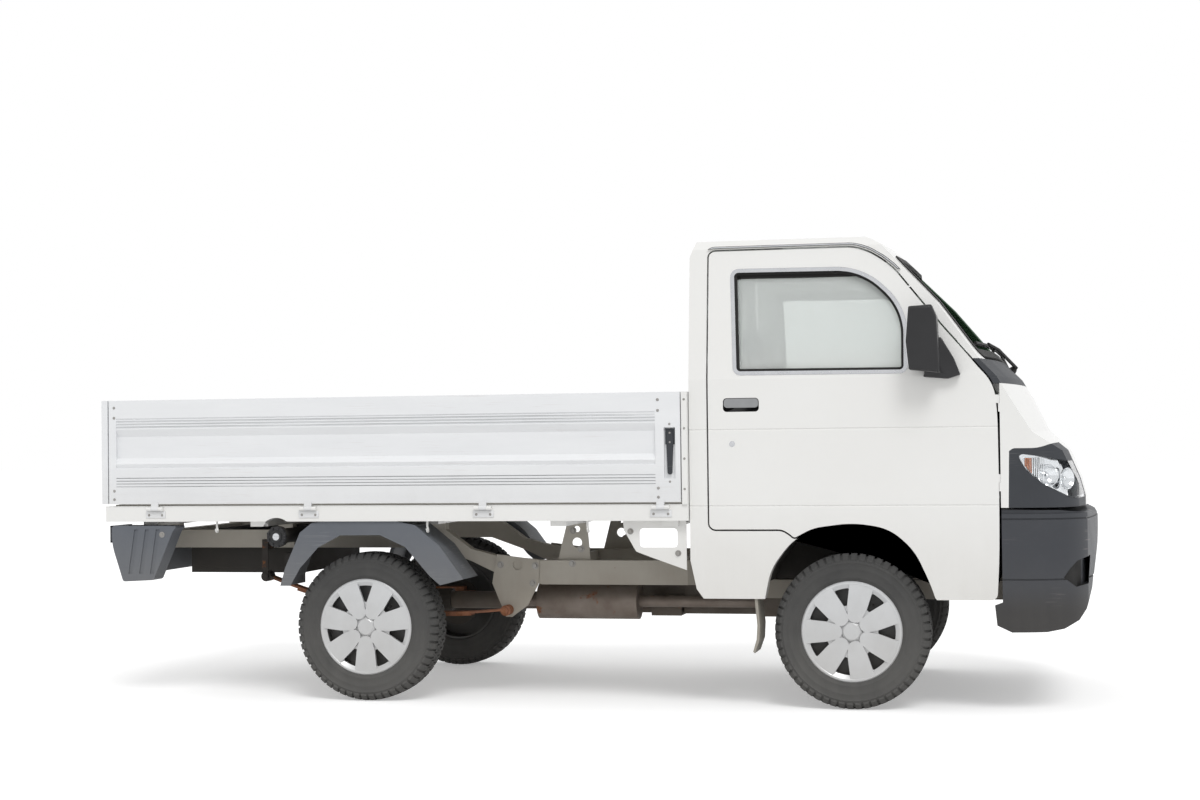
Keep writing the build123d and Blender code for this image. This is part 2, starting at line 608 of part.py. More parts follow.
with BuildPart() as leaf_springs:
    middle = leaf_angle((REAR_AXLE_X, SPRING_PAD_Z))
    for index, share in enumerate(LEAF_SHARES):
        rear_angle = middle + share * (leaf_angle(SPRING_REAR) - middle)
        span = share * (leaf_angle(SPRING_FRONT) - leaf_angle(SPRING_REAR))
        outer_r = SPINE_R + index * LEAF_THICK
        with BuildSketch(Plane.XZ.offset(-SPRING_Y - SPRING_WIDTH / 2)) as leaf:
            with BuildLine():
                centre = (SPINE_CENTRE.X, SPINE_CENTRE.Z)
                lower = CenterArc(centre, outer_r, rear_angle, span)
                upper = CenterArc(centre, outer_r - LEAF_THICK, rear_angle, span)
                Line(lower @ 0, upper @ 0)
                Line(lower @ 1, upper @ 1)
            make_face()
        extrude(leaf.sketch, amount=SPRING_WIDTH)
    inner, outer = SPRING_Y - SPRING_WIDTH / 2, SPRING_Y + SPRING_WIDTH / 2
    for eye in (SPRING_FRONT, SPRING_REAR):
        rod_y(*eye, EYE_R, inner, outer)
        rod_y(*eye, EYE_R - 8, inner, outer + 10)
    # A clamp plate and its bolts hold the leaves on the axle.
    clamp_low = SPRING_PAD_Z + SEAT_GAP + SPRING_THICK - 3
    block(REAR_AXLE_X - 55, REAR_AXLE_X + 55, inner, outer, clamp_low, clamp_low + 14)
    # The shackle hangs from the rail at the rear.
    block(SPRING_REAR[0] - 12, SPRING_REAR[0] + 12, outer + 2, outer + 7, SPRING_REAR[1] - 14, SHACKLE_TOP)
    block(SPRING_REAR[0] - 12, SPRING_REAR[0] + 12, OUTER_RAIL_Y + SEAT_GAP, outer + 7, SHACKLE_TOP - 40,
          SHACKLE_TOP)
    both_sides()
save(leaf_springs, "leaf_springs")

BANJO_R = 105

with BuildPart() as rear_axle:
    rod_y(REAR_AXLE_X, AXLE_Z, AXLE_TUBE_R, -WHEEL_Y + 76, WHEEL_Y - 76)
    rod_y(REAR_AXLE_X, AXLE_Z, SPINDLE_R, -WHEEL_Y - 30, WHEEL_Y + 30)
    rod_x(0, AXLE_Z, BANJO_R, REAR_AXLE_X - 45, REAR_AXLE_X + 45)
    rod_x(0, AXLE_Z, BANJO_R - 35, REAR_AXLE_X - 95, REAR_AXLE_X + 75)
    rod_x(0, PINION_Z, 45, REAR_AXLE_X + 50, REAR_AXLE_X + PINION_LENGTH)
    rod_y(REAR_AXLE_X, AXLE_Z, 100, -WHEEL_Y + 76, -WHEEL_Y + 84)
    rod_y(REAR_AXLE_X, AXLE_Z, 100, WHEEL_Y - 84, WHEEL_Y - 76)
save(rear_axle, "rear_axle")

ENGINE_HALF = 215

with BuildPart() as drivetrain:
    block(ENGINE_REAR, ENGINE_FRONT, -ENGINE_HALF, ENGINE_HALF, ENGINE_BOTTOM, 600)
    gearbox = [(-110, ENGINE_BOTTOM), (110, ENGINE_BOTTOM), (90, GEARBOX_TOP), (-90, GEARBOX_TOP)]
    front_prism(gearbox, GEARBOX_REAR + 220, ENGINE_REAR)
    front_prism([(0.7 * y, z) for y, z in gearbox], GEARBOX_REAR, GEARBOX_REAR + 220)
    block(GEARBOX_MOUNT_X - 160, GEARBOX_MOUNT_X - 40, -120, 0, ENGINE_BOTTOM - 8, ENGINE_BOTTOM + 70)
    rod_x(0, PINION_Z, 35, REAR_AXLE_X + PINION_LENGTH + SEAT_GAP, GEARBOX_REAR)
save(drivetrain, "drivetrain")

EXHAUST_Y = 200
EXHAUST_Z = 345

with BuildPart() as exhaust:
    rod_x(-EXHAUST_Y, EXHAUST_Z, 22, REAR_AXLE_X + 420, ENGINE_REAR - SEAT_GAP)
    rod_x(-EXHAUST_Y, EXHAUST_Z, 70, REAR_AXLE_X + 560, REAR_AXLE_X + 960)
save(exhaust, "exhaust")

with BuildPart() as fuel_tank:
    block(REAR_AXLE_X - 860, REAR_AXLE_X - 380, -330, 330, 460, 625)
    rod_y(*FILLER, 28, -SILL_Y + 30, -OUTER_RAIL_Y - SEAT_GAP)
    block(REAR_AXLE_X - 360, REAR_AXLE_X - 316, -480, -436, 505, 622)
    block(REAR_AXLE_X - 400, REAR_AXLE_X - 316, -480, -325, 505, 545)
    rod_y(*FILLER, 40, -SILL_Y + 6, -SILL_Y + 30)
save(fuel_tank, "fuel_tank")

KINGPIN_LOW = (562, 180)
KINGPIN_HIGH = (455, 680)
STRUT_R = 16
STRUT_TOP = 655


def kingpin_plane(side, z):
    """The plane square to the inclined steering axis where it passes height z."""
    lean = (KINGPIN_HIGH[0] - KINGPIN_LOW[0]) / (KINGPIN_HIGH[1] - KINGPIN_LOW[1])
    y = KINGPIN_LOW[0] + (z - KINGPIN_LOW[1]) * lean
    return Plane(origin=(FRONT_AXLE_X, side * y, z), z_dir=(0, side * lean, 1))


def along_kingpin(side, z_low, z_high, radius, mode=Mode.ADD):
    """A cylinder on the steering axis."""
    base = kingpin_plane(side, z_low)
    length = (kingpin_plane(side, z_high).origin - base.origin).length
    with Locations(base):
        Cylinder(radius, length, align=(Align.CENTER, Align.CENTER, Align.MIN), mode=mode)


for side_name, side in (("left", 1), ("right", -1)):
    with BuildPart() as knuckle:
        along_kingpin(side, KINGPIN_LOW[1], STRUT_TOP, STRUT_R)
        spindle = sorted((side * (WHEEL_Y - 70), side * (WHEEL_Y + 30)))
        rod_y(FRONT_AXLE_X, AXLE_Z, SPINDLE_R, *spindle)
        hub = sorted((side * (WHEEL_Y - 96), side * (WHEEL_Y - 20)))
        rod_y(FRONT_AXLE_X, AXLE_Z, 34, *hub)
    save(knuckle, f"knuckle_{side_name}")

with BuildPart() as front_subframe:
    block(FRONT_AXLE_X - 60, FRONT_AXLE_X + 60, -FRONT_RAIL_Y - 20, FRONT_RAIL_Y + 20, 190, 240)
    for side in (-1, 1):
        leg = sorted((side * (FRONT_RAIL_Y - 20), side * (FRONT_RAIL_Y + 20)))
        block(FRONT_AXLE_X - 60, FRONT_AXLE_X + 60, *leg, 240, 370 - SEAT_GAP)
        arm = sorted((side * (FRONT_RAIL_Y + 20), side * (KINGPIN_LOW[0] + 16)))
        block(FRONT_AXLE_X - 25, FRONT_AXLE_X + 25, *arm, 152, 176)
        block(FRONT_AXLE_X - 40, FRONT_AXLE_X + 40, *sorted((side * 280, side * 330)), 152, 200)
save(front_subframe, "front_subframe")

# ---------------------------------------------------------------------------------------------
# Cab body
# ---------------------------------------------------------------------------------------------

ARCH = front([(-308, 396), (-286, 504), (-212, 601), (-132, 652), (12, 671), (140, 650), (228, 573),
              (281, 456), (303, 385)])
CORNER_X = FRONT_AXLE_X + 610
FACE_EDGE_X = FRONT_AXLE_X + 800
FACE_EDGE_Y = 560


def cab_outline(fall, inset, roof_inset, rear_inset, bottom):
    """The cab's X-Z outline; fall slides its screen and nose back towards the sides."""
    back = CAB_REAR + rear_inset
    top = ROOF_TOP - roof_inset
    above = top + 3
    rear_part = [(back, bottom), (back, top - 88), (back + 28, top - 12), (back + 110, above)]
    roof = [(-130, above), (2 - inset / 2, top - 11), (73 - 0.3 * fall - inset, top - 23),
            (151 - 0.5 * fall - inset, top - 57)]
    roof_part = [(FRONT_AXLE_X + x, z) for x, z in roof]
    return rear_part + roof_part + front([
        (367 - 0.72 * fall - inset, 1455),
        (541 - fall - inset, 1247),
        (602 - fall - inset, 1185),
        (644 - fall - inset, 1112),
        (703 - 0.8 * fall - inset, 990),
        (778 - 0.5 * fall - inset, 921),
        (820 - 0.5 * fall - inset, 821),
        (847 - 0.5 * fall - inset, 719),
        (847 - 0.5 * fall - inset, bottom),
    ])


def cab_section(side_inset, roof_inset, bottom, x_low, x_high, mode=Mode.ADD):
    """The cab's Y-Z section with its leaning windows and crowned roof."""
    waist_y = CAB_Y - side_inset
    eaves_y = GUTTER_Y - side_inset
    with BuildSketch(Plane.YZ.offset(x_low)) as section:
        with BuildLine():
            right = Polyline((0, bottom), (-waist_y, bottom), (-waist_y, WAIST_Z), (-eaves_y, GUTTER_Z),
                             (-eaves_y + 28, ROOF_TOP - 28 - roof_inset))
            left = Polyline((0, bottom), (waist_y, bottom), (waist_y, WAIST_Z), (eaves_y, GUTTER_Z),
                            (eaves_y - 28, ROOF_TOP - 28 - roof_inset))
            ThreePointArc(right @ 1, (0, ROOF_TOP - roof_inset), left @ 1)
        make_face()
    extrude(section.sketch, amount=x_high - x_low, mode=mode)


def nose_plan(reach, half_width, x_back, z_low, z_high, mode=Mode.ADD):
    """The plan of the rounded nose, from x_back to the reach, extruded upwards."""
    edge_y = FACE_EDGE_Y + half_width - CAB_Y
    edge_x = FACE_EDGE_X + reach - (FRONT_AXLE_X + 847)
    with BuildSketch(Plane.XY.offset(z_low)) as plan:
        with BuildLine():
            Polyline((x_back, 0), (x_back, -half_width), (CORNER_X, -half_width))
            TangentArc((CORNER_X, -half_width), (edge_x, -edge_y), tangent=(1, 0))
            ThreePointArc((edge_x, -edge_y), (reach, 0), (edge_x, edge_y))
            TangentArc((CORNER_X, half_width), (edge_x, edge_y), tangent=(1, 0))
            Polyline((x_back, 0), (x_back, half_width), (CORNER_X, half_width))
        make_face()
    extrude(plan.sketch, amount=z_high - z_low, mode=mode)


def cab_form(side_inset, roof_inset, rear_inset, nose_inset, bottom):
    """The cab's whole form as a solid, pulled in by the insets."""
    with BuildPart(mode=Mode.PRIVATE) as form:
        half = CAB_Y + 1
        sections = []
        for y in (-half, 0, half):
            fall = 80 * abs(y) / half
            outline = cab_outline(fall, nose_inset, roof_inset, rear_inset, bottom)
            sections.append(face_on(Plane.XZ.offset(-y), outline))
        loft(sections=sections)
        cab_section(side_inset, roof_inset, bottom, CAB_REAR, NOSE_X, mode=Mode.INTERSECT)
        nose_plan(FRONT_AXLE_X + 847 - nose_inset, CAB_Y - side_inset, CAB_REAR, bottom, ROOF_TOP,
                  mode=Mode.INTERSECT)
    return form.part


outer_form = cab_form(0, 0, 0, 0, CAB_BOTTOM)
inner_form = cab_form(DOOR_THICK, ROOF_THICK, REAR_WALL_THICK, NOSE_THICK, CAB_BOTTOM - 5)
cab_shell = outer_form - inner_form

DOOR_OUTLINE = front([(-507, DOOR_BOTTOM), (-507, 1660), (20, 1660), (73, 1643), (126, 1610), (166, 1576),
                      (249, 1471), (336, 1363), (405, 1284), (457, 1220), (495, 1178), (515, 1132),
                      (523, 1044), (525, 746), (523, 553), (514, 398), (303, 391), (281, 456), (228, 573),
                      (140, 650), (12, 671), (-132, 652), (-199, 616), (-214, 630), (-242, DOOR_BOTTOM)])

WINDOW_OUTLINE = front([(-428, 1594), (55, 1590), (213, 1438), (213, 1200), (-415, 1204)])
SCREEN_OUTLINE = [(-640, SCREEN_BOTTOM), (640, SCREEN_BOTTOM), (585, SCREEN_TOP), (-585, SCREEN_TOP)]
REAR_WINDOW = (470, WAIST_Z + 25, ROOF_TOP - 168)
WINDOW_CORNER_R = 30
SCREEN_CORNER_R = 45
DOOR_CORNER_R = 24
LENS_CORNER_R = 10
CAB_FRONT = DOOR_FRONT + SEAM
SIDE_INNER = CAB_Y - DOOR_THICK
TRIM_Y = SIDE_INNER - MOVING_GAP - 1
PANEL_BOTTOM = 722
COWL_BOTTOM = 1160
HUGE = 4000


def outset(plane, points, amount, corner_radius):
    """An outline's eased face, grown or shrunk all round by an amount."""
    face = eased_face(plane, points, corner_radius)
    return offset(face, amount=amount, mode=Mode.PRIVATE) if amount else face


def side_holes(points, grow, corner_radius):
    """Prisms that cut an outline, grown all round, through both sides of the cab."""
    with BuildPart(mode=Mode.PRIVATE) as holes:
        face = outset(Plane.XZ.offset(-CAB_Y - 1), points, grow, corner_radius)
        extrude(face, amount=CAB_Y - 540)
        both_sides()
        cab_section(DOOR_THICK + grow, 0, 0, CAB_REAR, NOSE_X, mode=Mode.SUBTRACT)
    return holes.part


door_holes = side_holes(DOOR_OUTLINE, SEAM, DOOR_CORNER_R)
arch_holes = side_holes(ARCH, 0, 1)

with BuildPart() as roof_zone:
    block(CAB_REAR - 1, HUGE, -HUGE, HUGE, SCREEN_TOP, HUGE)
    block(FRONT_AXLE_X + 60, HUGE, -HUGE, HUGE, SCREEN_BOTTOM, SCREEN_TOP)

with BuildPart() as front_zone:
    block(CAB_FRONT, HUGE, -HUGE, HUGE, 0, SCREEN_BOTTOM)
    block(FRONT_AXLE_X + 400, HUGE, -TRIM_Y, TRIM_Y, 0, SCREEN_BOTTOM)
    block(FRONT_AXLE_X + 400, HUGE, -HUGE, HUGE, COWL_BOTTOM, SCREEN_BOTTOM)

with BuildPart() as rear_zone:
    block(CAB_REAR - 1, CAB_REAR + REAR_WALL_THICK, -SIDE_INNER, SIDE_INNER, 0, SCREEN_TOP)

with BuildPart() as screen_zone:
    screen_plane = Plane.YZ.offset(FRONT_AXLE_X + 60)
    extrude(eased_face(screen_plane, SCREEN_OUTLINE, SCREEN_CORNER_R), amount=640)

LAMP_OUTLINE = front([(557, PANEL_BOTTOM), (561, 921), (575, 931), (661, 931), (713, 949), (900, 949),
                      (900, PANEL_BOTTOM)])
LENS_OUTLINE = front([(592, 903), (606, 910), (695, 899), (757, 884), (900, 880), (900, 752), (773, 752),
                      (736, 773), (677, 804), (636, 836), (609, 868)])
LAMP_INNER = 380
LENS_INNER = 430
LENS_THICK = 4
LAMP_DEPTH = NOSE_THICK - 8


def outer_prisms(points, y_inner, shrink, corner_radius):
    """Prisms of an outline outside y_inner on both sides, shrunk all round."""
    with BuildPart(mode=Mode.PRIVATE) as prisms:
        face = outset(Plane.XZ.offset(-CAB_Y - 1), points, -shrink, corner_radius)
        extrude(face, amount=CAB_Y + 1 - y_inner - shrink)
        both_sides()
    return prisms.part


lamp_zone = outer_prisms(LAMP_OUTLINE, LAMP_INNER, 0, 1)
lens_zone = outer_prisms(LENS_OUTLINE, LENS_INNER, 0, LENS_CORNER_R)
lens_inside = cab_form(LENS_THICK, 0, 0, LENS_THICK, CAB_BOTTOM - 5)
lamp_back = cab_form(LAMP_DEPTH, 0, 0, LAMP_DEPTH, CAB_BOTTOM - 5)

RAIL_HEIGHT = 8
RAIL_ABOVE_DOOR = SEAM + 4
RAIL_OUT = 9
RAIL_REGION = [(FRONT_AXLE_X - 531, GUTTER_Z), (FRONT_AXLE_X - 531, ROOF_TOP), (FRONT_AXLE_X + 400, ROOF_TOP),
               (FRONT_AXLE_X + 400, ROOF_TOP - 153), (FRONT_AXLE_X + 150, ROOF_TOP - 153),
               (FRONT_AXLE_X + 20, GUTTER_Z)]

# The drip rail follows the door's top edge along the roof and down the screen pillar.
with BuildPart(mode=Mode.PRIVATE) as drip_rail:
    rail_plane = Plane.XZ.offset(-CAB_Y)
    extrude(outset(rail_plane, DOOR_OUTLINE, RAIL_ABOVE_DOOR + RAIL_HEIGHT, DOOR_CORNER_R), amount=CAB_Y - 540)
    band_inside = outset(rail_plane, DOOR_OUTLINE, RAIL_ABOVE_DOOR, DOOR_CORNER_R)
    extrude(band_inside, amount=CAB_Y - 540, mode=Mode.SUBTRACT)
    side_prism(RAIL_REGION, 540, CAB_Y, mode=Mode.INTERSECT)
    cab_section(-RAIL_OUT, 0, CAB_BOTTOM, CAB_REAR, NOSE_X, mode=Mode.INTERSECT)
    cab_section(3, 0, 0, CAB_REAR - 1, NOSE_X + 1, mode=Mode.SUBTRACT)
    both_sides()
drip_rails = drip_rail.part

with BuildPart() as cab_roof:
    add(cab_shell)
    add(roof_zone.part, mode=Mode.INTERSECT)
    add(screen_zone.part, mode=Mode.SUBTRACT)
    add(door_holes, mode=Mode.SUBTRACT)
    add(drip_rails)
save(cab_roof, "cab_roof")

with BuildPart() as cab_rear_wall:
    add(cab_shell)
    add(rear_zone.part, mode=Mode.INTERSECT)
    block(CAB_REAR - 1, HUGE, -HUGE, HUGE, 0, REAR_WALL_BOTTOM, mode=Mode.SUBTRACT)
    half, low, high = REAR_WINDOW
    block(CAB_REAR - 1, HUGE, -half, half, low, high, mode=Mode.SUBTRACT)
save(cab_rear_wall, "cab_rear_wall")

SWAGES = (731, 1007)
SWAGE_DEPTH = 2.5
SWAGE_HALF = 5
REAR_CORNER_CUT = front([(-580, 545), (-556, 431), (-530, CAB_BOTTOM - 1), (-530, 390), (-580, 390)])


def swage(z, side, x_low, x_high):
    """Cuts a pressed crease along a side of the cab."""
    notch = [(side * (CAB_Y + 1), z - SWAGE_HALF), (side * (CAB_Y - SWAGE_DEPTH), z),
             (side * (CAB_Y + 1), z + SWAGE_HALF)]
    front_prism(notch, x_low, x_high, mode=Mode.SUBTRACT)


with BuildPart() as cab_sides:
    add(cab_shell)
    for zone in (roof_zone.part, rear_zone.part, door_holes, arch_holes):
        add(zone, mode=Mode.SUBTRACT)
    block(FRONT_AXLE_X, HUGE, -HUGE, HUGE, 0, HUGE, mode=Mode.SUBTRACT)
    side_prism(REAR_CORNER_CUT, -CAB_Y - 1, CAB_Y + 1, mode=Mode.SUBTRACT)
    for z in SWAGES:
        swage(z, 1, CAB_REAR - 1, DOOR_REAR)
        swage(z, -1, CAB_REAR - 1, DOOR_REAR)
save(cab_sides, "cab_sides")

HINGE_AXIS = (DOOR_FRONT + SEAM / 2, CAB_Y - 1)
DOOR_HINGE_R = 2.5
DOOR_HINGES = (780, 1060)

with BuildPart() as front_panel:
    add(cab_shell)
    add(front_zone.part, mode=Mode.INTERSECT)
    add(lamp_zone, mode=Mode.SUBTRACT)
    block(0, HUGE, -HUGE, HUGE, 0, PANEL_BOTTOM, mode=Mode.SUBTRACT)
    block(0, HUGE, -HUGE, HUGE, COWL_BOTTOM, HUGE, mode=Mode.SUBTRACT)
    add(door_holes, mode=Mode.SUBTRACT)
    for side in (-1, 1):
        for z in DOOR_HINGES:
            rod_z(HINGE_AXIS[0], side * HINGE_AXIS[1], DOOR_HINGE_R, z, z + 30)
            tab = sorted((side * (HINGE_AXIS[1] - 2), side * (HINGE_AXIS[1] + 1)))
            block(HINGE_AXIS[0], CAB_FRONT + 1, *tab, z, z + 30)
save(front_panel, "front_panel")

with BuildPart() as cowl:
    add(cab_shell)
    add(front_zone.part, mode=Mode.INTERSECT)
    block(0, HUGE, -HUGE, HUGE, 0, COWL_BOTTOM, mode=Mode.SUBTRACT)
    add(door_holes, mode=Mode.SUBTRACT)
save(cowl, "cowl")

# Each lamp is a dark housing, open towards the front, behind a thin lens.
with BuildPart() as lamp_surrounds:
    add(cab_shell)
    add(lamp_zone, mode=Mode.INTERSECT)
    add(lens_zone - lamp_back, mode=Mode.SUBTRACT)
save(lamp_surrounds, "lamp_surrounds")

with BuildPart() as headlamps:
    add(outer_form - lens_inside)
    add(outer_prisms(LENS_OUTLINE, LENS_INNER, SEAT_GAP, LENS_CORNER_R), mode=Mode.INTERSECT)
save(headlamps, "headlamps")

with BuildPart() as cab_glass:
    add(cab_form(0, 0, 0, 12, CAB_BOTTOM) - cab_form(0, 0, 0, 12 + GLASS_THICK, CAB_BOTTOM - 5))
    screen_face = outset(screen_plane, SCREEN_OUTLINE, -1, SCREEN_CORNER_R)
    extrude(screen_face, amount=640, mode=Mode.INTERSECT)
    half, low, high = REAR_WINDOW
    block(CAB_REAR + 14, CAB_REAR + 20, -half + SEAT_GAP, half - SEAT_GAP, low + SEAT_GAP, high - SEAT_GAP)
save(cab_glass, "cab_glass")

PLATFORM_FRONT = FRONT_AXLE_X + 130
LINER = front([(-322, 449), (-299, 515), (-222, 612), (-139, 664), (12, 684), (147, 663), (239, 582),
               (294, 459), (297, 449)])
LINER_INSIDE = front([(-315, 440), (-292, 509), (-216, 607), (-135, 658), (12, 677), (143, 656),
                      (233, 577), (288, 457), (291, 440)])

with BuildPart() as cab_floor:
    back = CAB_REAR + REAR_WALL_THICK + SEAT_GAP
    toe = DOOR_FRONT - 8
    under = FOOTWELL_Z - SKIN
    block(back, PLATFORM_FRONT, -TRIM_Y, TRIM_Y, PLATFORM_Z - SKIN, PLATFORM_Z)
    block(PLATFORM_FRONT - SKIN, PLATFORM_FRONT, -WHEELHOUSE_Y, WHEELHOUSE_Y, under, PLATFORM_Z)
    block(PLATFORM_FRONT - SKIN, toe, -WHEELHOUSE_Y, WHEELHOUSE_Y, under, FOOTWELL_Z)
    block(FRONT_AXLE_X + 290, toe, -TRIM_Y, TRIM_Y, under, FOOTWELL_Z)
    block(toe - SKIN, toe, -TRIM_Y, TRIM_Y, under, COWL_BOTTOM - 60)
    block(FRONT_AXLE_X - 420, FRONT_AXLE_X - 315, WHEELHOUSE_Y - SKIN, TRIM_Y, under, FOOTWELL_Z)
    side_prism(LINER, WHEELHOUSE_Y - SKIN, TRIM_Y)
    block(FRONT_AXLE_X - 420, FRONT_AXLE_X - 310, WHEELHOUSE_Y - SKIN, WHEELHOUSE_Y, under, PLATFORM_Z)
    side_prism(LINER_INSIDE, WHEELHOUSE_Y, TRIM_Y + 1, mode=Mode.SUBTRACT)
    both_sides()
save(cab_floor, "cab_floor")

STEERING_CENTRE = Vector(FRONT_AXLE_X + 180, 330, 1130)
COLUMN_DIRECTION = Vector(0.66, 0, -0.75).normalized()
STEERING_R = 180
HUB_HALF = 25
column_plane = Plane(origin=STEERING_CENTRE, x_dir=(0, 1, 0), z_dir=COLUMN_DIRECTION)

with BuildPart() as dashboard:
    dash_x = DOOR_FRONT - FRONT_AXLE_X - 8 - SKIN - SEAT_GAP
    side_prism(front([(300, 930), (290, 1010), (320, 1085), (400, 1125), (dash_x, 1125), (dash_x, 900), (400, 880)]),
               -TRIM_Y + 4, TRIM_Y - 4)
    with Locations(column_plane.offset(HUB_HALF + SEAT_GAP)):
        Cylinder(30, 195, align=(Align.CENTER, Align.CENTER, Align.MIN))
save(dashboard, "dashboard")

SEAT_SIDE = front([(-450, 718), (-480, 800), (-530, 1240), (-515, 1440), (-480, 1450), (-455, 1400),
                   (-440, 1240), (-385, 880), (-20, 900), (40, 860), (30, 718)])
with BuildPart() as seats:
    side_prism(SEAT_SIDE, 110, 590)
    block(FRONT_AXLE_X - 420, FRONT_AXLE_X - 20, 160, 540, PLATFORM_Z + SEAT_GAP, 719)
    both_sides()
save(seats, "seats")

with BuildPart() as steering_wheel:
    with BuildSketch(Plane(origin=STEERING_CENTRE, x_dir=(0, 1, 0), z_dir=column_plane.y_dir)) as grip:
        with Locations((STEERING_R, 0)):
            RegularPolygon(13, 8)
    revolve(grip.sketch, axis=Axis(STEERING_CENTRE, COLUMN_DIRECTION))
    with Locations(column_plane):
        Cylinder(45, 2 * HUB_HALF)
    with Locations(column_plane):
        Box(2 * STEERING_R, 40, 14)
save(steering_wheel, "steering_wheel")

# ---------------------------------------------------------------------------------------------
# Doors
# ---------------------------------------------------------------------------------------------

HANDLE_X = FRONT_AXLE_X - 452
HANDLE_LOW, HANDLE_HIGH, HANDLE_LONG = 1072, 1122, 131
HANDLE_DEPTH = 14
HANDLE_CORNER_R = 14


def handle_box(x_low, x_high, z_low, z_high):
    """A rectangle given inwards from the edges of the handle's recess."""
    left, right = HANDLE_X + x_low, HANDLE_X + HANDLE_LONG - x_high
    low, high = HANDLE_LOW + z_low, HANDLE_HIGH - z_high
    return [(left, low), (right, low), (right, high), (left, high)]


HANDLE = handle_box(0, 0, 0, 0)
HANDLE_FLAP = handle_box(3, 3, 15, 2)
HANDLE_ROOT = handle_box(30, 30, 34, 4)
MIRROR_HEAD = front([(225, 1432), (305, 1437), (322, 1395), (331, 1220), (331, 1198), (224, 1210),
                     (214, 1309)])
MIRROR_BASE = front([(269, 1186), (355, 1178), (398, 1192), (376, 1250), (332, 1325), (300, 1325)])

for side_name, side in (("left", 1), ("right", -1)):
    skin = sorted((side * 540, side * (CAB_Y + 1)))
    with BuildPart() as door:
        eased_prism(DOOR_OUTLINE, *skin, corner_radius=DOOR_CORNER_R)
        add(outer_form, mode=Mode.INTERSECT)
        cab_section(DOOR_THICK, 0, 0, CAB_REAR, NOSE_X, mode=Mode.SUBTRACT)
        eased_prism(WINDOW_OUTLINE, *skin, mode=Mode.SUBTRACT, corner_radius=WINDOW_CORNER_R)
        recess = sorted((side * (CAB_Y - HANDLE_DEPTH), side * (CAB_Y + 1)))
        eased_prism(HANDLE, *recess, mode=Mode.SUBTRACT, corner_radius=HANDLE_CORNER_R)
        for z in SWAGES:
            swage(z, side, DOOR_REAR - 1, DOOR_FRONT + 1)
        for z in DOOR_HINGES:
            rod_z(HINGE_AXIS[0], side * HINGE_AXIS[1], DOOR_HINGE_R, z + 30 + SEAT_GAP, z + 60)
            tab = sorted((side * (HINGE_AXIS[1] - 2), side * (HINGE_AXIS[1] + 1)))
            block(DOOR_FRONT - 12, HINGE_AXIS[0], *tab, z + 30 + SEAT_GAP, z + 60)
    save(door, f"door_{side_name}")
    with BuildPart() as door_glass:
        cab_section(22, 0, 1100, DOOR_REAR, CAB_FRONT)
        cab_section(22 + GLASS_THICK, 0, 1000, DOOR_REAR - 1, CAB_FRONT + 1, mode=Mode.SUBTRACT)
        glass_face = outset(Plane.XZ.offset(-max(skin)), WINDOW_OUTLINE, -SEAT_GAP, WINDOW_CORNER_R)
        extrude(glass_face, amount=max(skin) - min(skin), mode=Mode.INTERSECT)
    save(door_glass, f"door_glass_{side_name}")
    with BuildPart() as handle:
        root_depth = sorted((side * (CAB_Y - HANDLE_DEPTH + SEAT_GAP), side * (CAB_Y - 4)))
        flap_depth = sorted((side * (CAB_Y - 5), side * (CAB_Y - 1)))
        eased_prism(HANDLE_ROOT, *root_depth, corner_radius=2)
        eased_prism(HANDLE_FLAP, *flap_depth, corner_radius=HANDLE_CORNER_R - 2)
    save(handle, f"door_handle_{side_name}")
    with BuildPart() as mirror_unit:
        side_prism(MIRROR_HEAD, *sorted((side * (CAB_Y + 30), side * (CAB_Y + 120))))
        outer_face = mirror_unit.faces().sort_by(Axis.Y)[-1 if side > 0 else 0]
        chamfer(outer_face.edges(), 9)
        side_prism(MIRROR_BASE, *sorted((side * (CAB_Y - 8), side * (CAB_Y + 34))))
        cab_section(-SEAT_GAP, 0, 0, CAB_REAR, NOSE_X, mode=Mode.SUBTRACT)
    save(mirror_unit, f"mirror_{side_name}")

# ---------------------------------------------------------------------------------------------
# Front bumper
# ---------------------------------------------------------------------------------------------

BUMPER_TOP = 716
BUMPER_SIDE = front([(532, BUMPER_TOP), (728, 712), (830, 700), (868, 690), (866, 685), (862, 682), (873, 676),
                     (874, 650), (868, 576), (856, 508), (850, 474), (845, 470), (847, 466), (842, 430),
                     (820, 361), (794, 324), (743, 297), (682, 287), (563, 285), (512, 309),
                     (505, 378), (532, 388)])
BUMPER_HOLLOW = front([(499, 692), (720, 690), (812, 678), (836, 640), (830, 576), (820, 508), (806, 435),
                       (784, 376), (764, 348), (728, 323), (680, 312), (580, 310), (540, 320), (499, 320)])
BUMPER_THICK = 32
BUMPER_CREASES = (470, 682)
CREASE_DEPTH = 4
FOG_POCKET = front([(742, 475), (761, 503), (790, 533), (836, 548), (828, 449), (785, 441)])
FOG_DEPTH = 20
INTAKE_HALF = 300
INTAKE_SLOTS = (346, 370, 394)
INTAKE_SLOT = 15
INTAKE_DEPTH = 12


def outside_plan(depth, z_low, z_high):
    """The space outside the bumper's plan pulled in by a depth, between two heights."""
    with BuildPart(mode=Mode.PRIVATE) as outside:
        block(FRONT_AXLE_X + 400, NOSE_X + 50, -CAB_Y - 50, CAB_Y + 50, z_low, z_high)
        nose_plan(NOSE_X - depth, CAB_Y - depth, FRONT_AXLE_X + 399, z_low - 1, z_high + 1, mode=Mode.SUBTRACT)
    return outside.part


with BuildPart(mode=Mode.PRIVATE) as fog_pockets:
    side_prism(FOG_POCKET, -CAB_Y - 1, CAB_Y + 1)
    add(outside_plan(FOG_DEPTH, 400, 600), mode=Mode.INTERSECT)

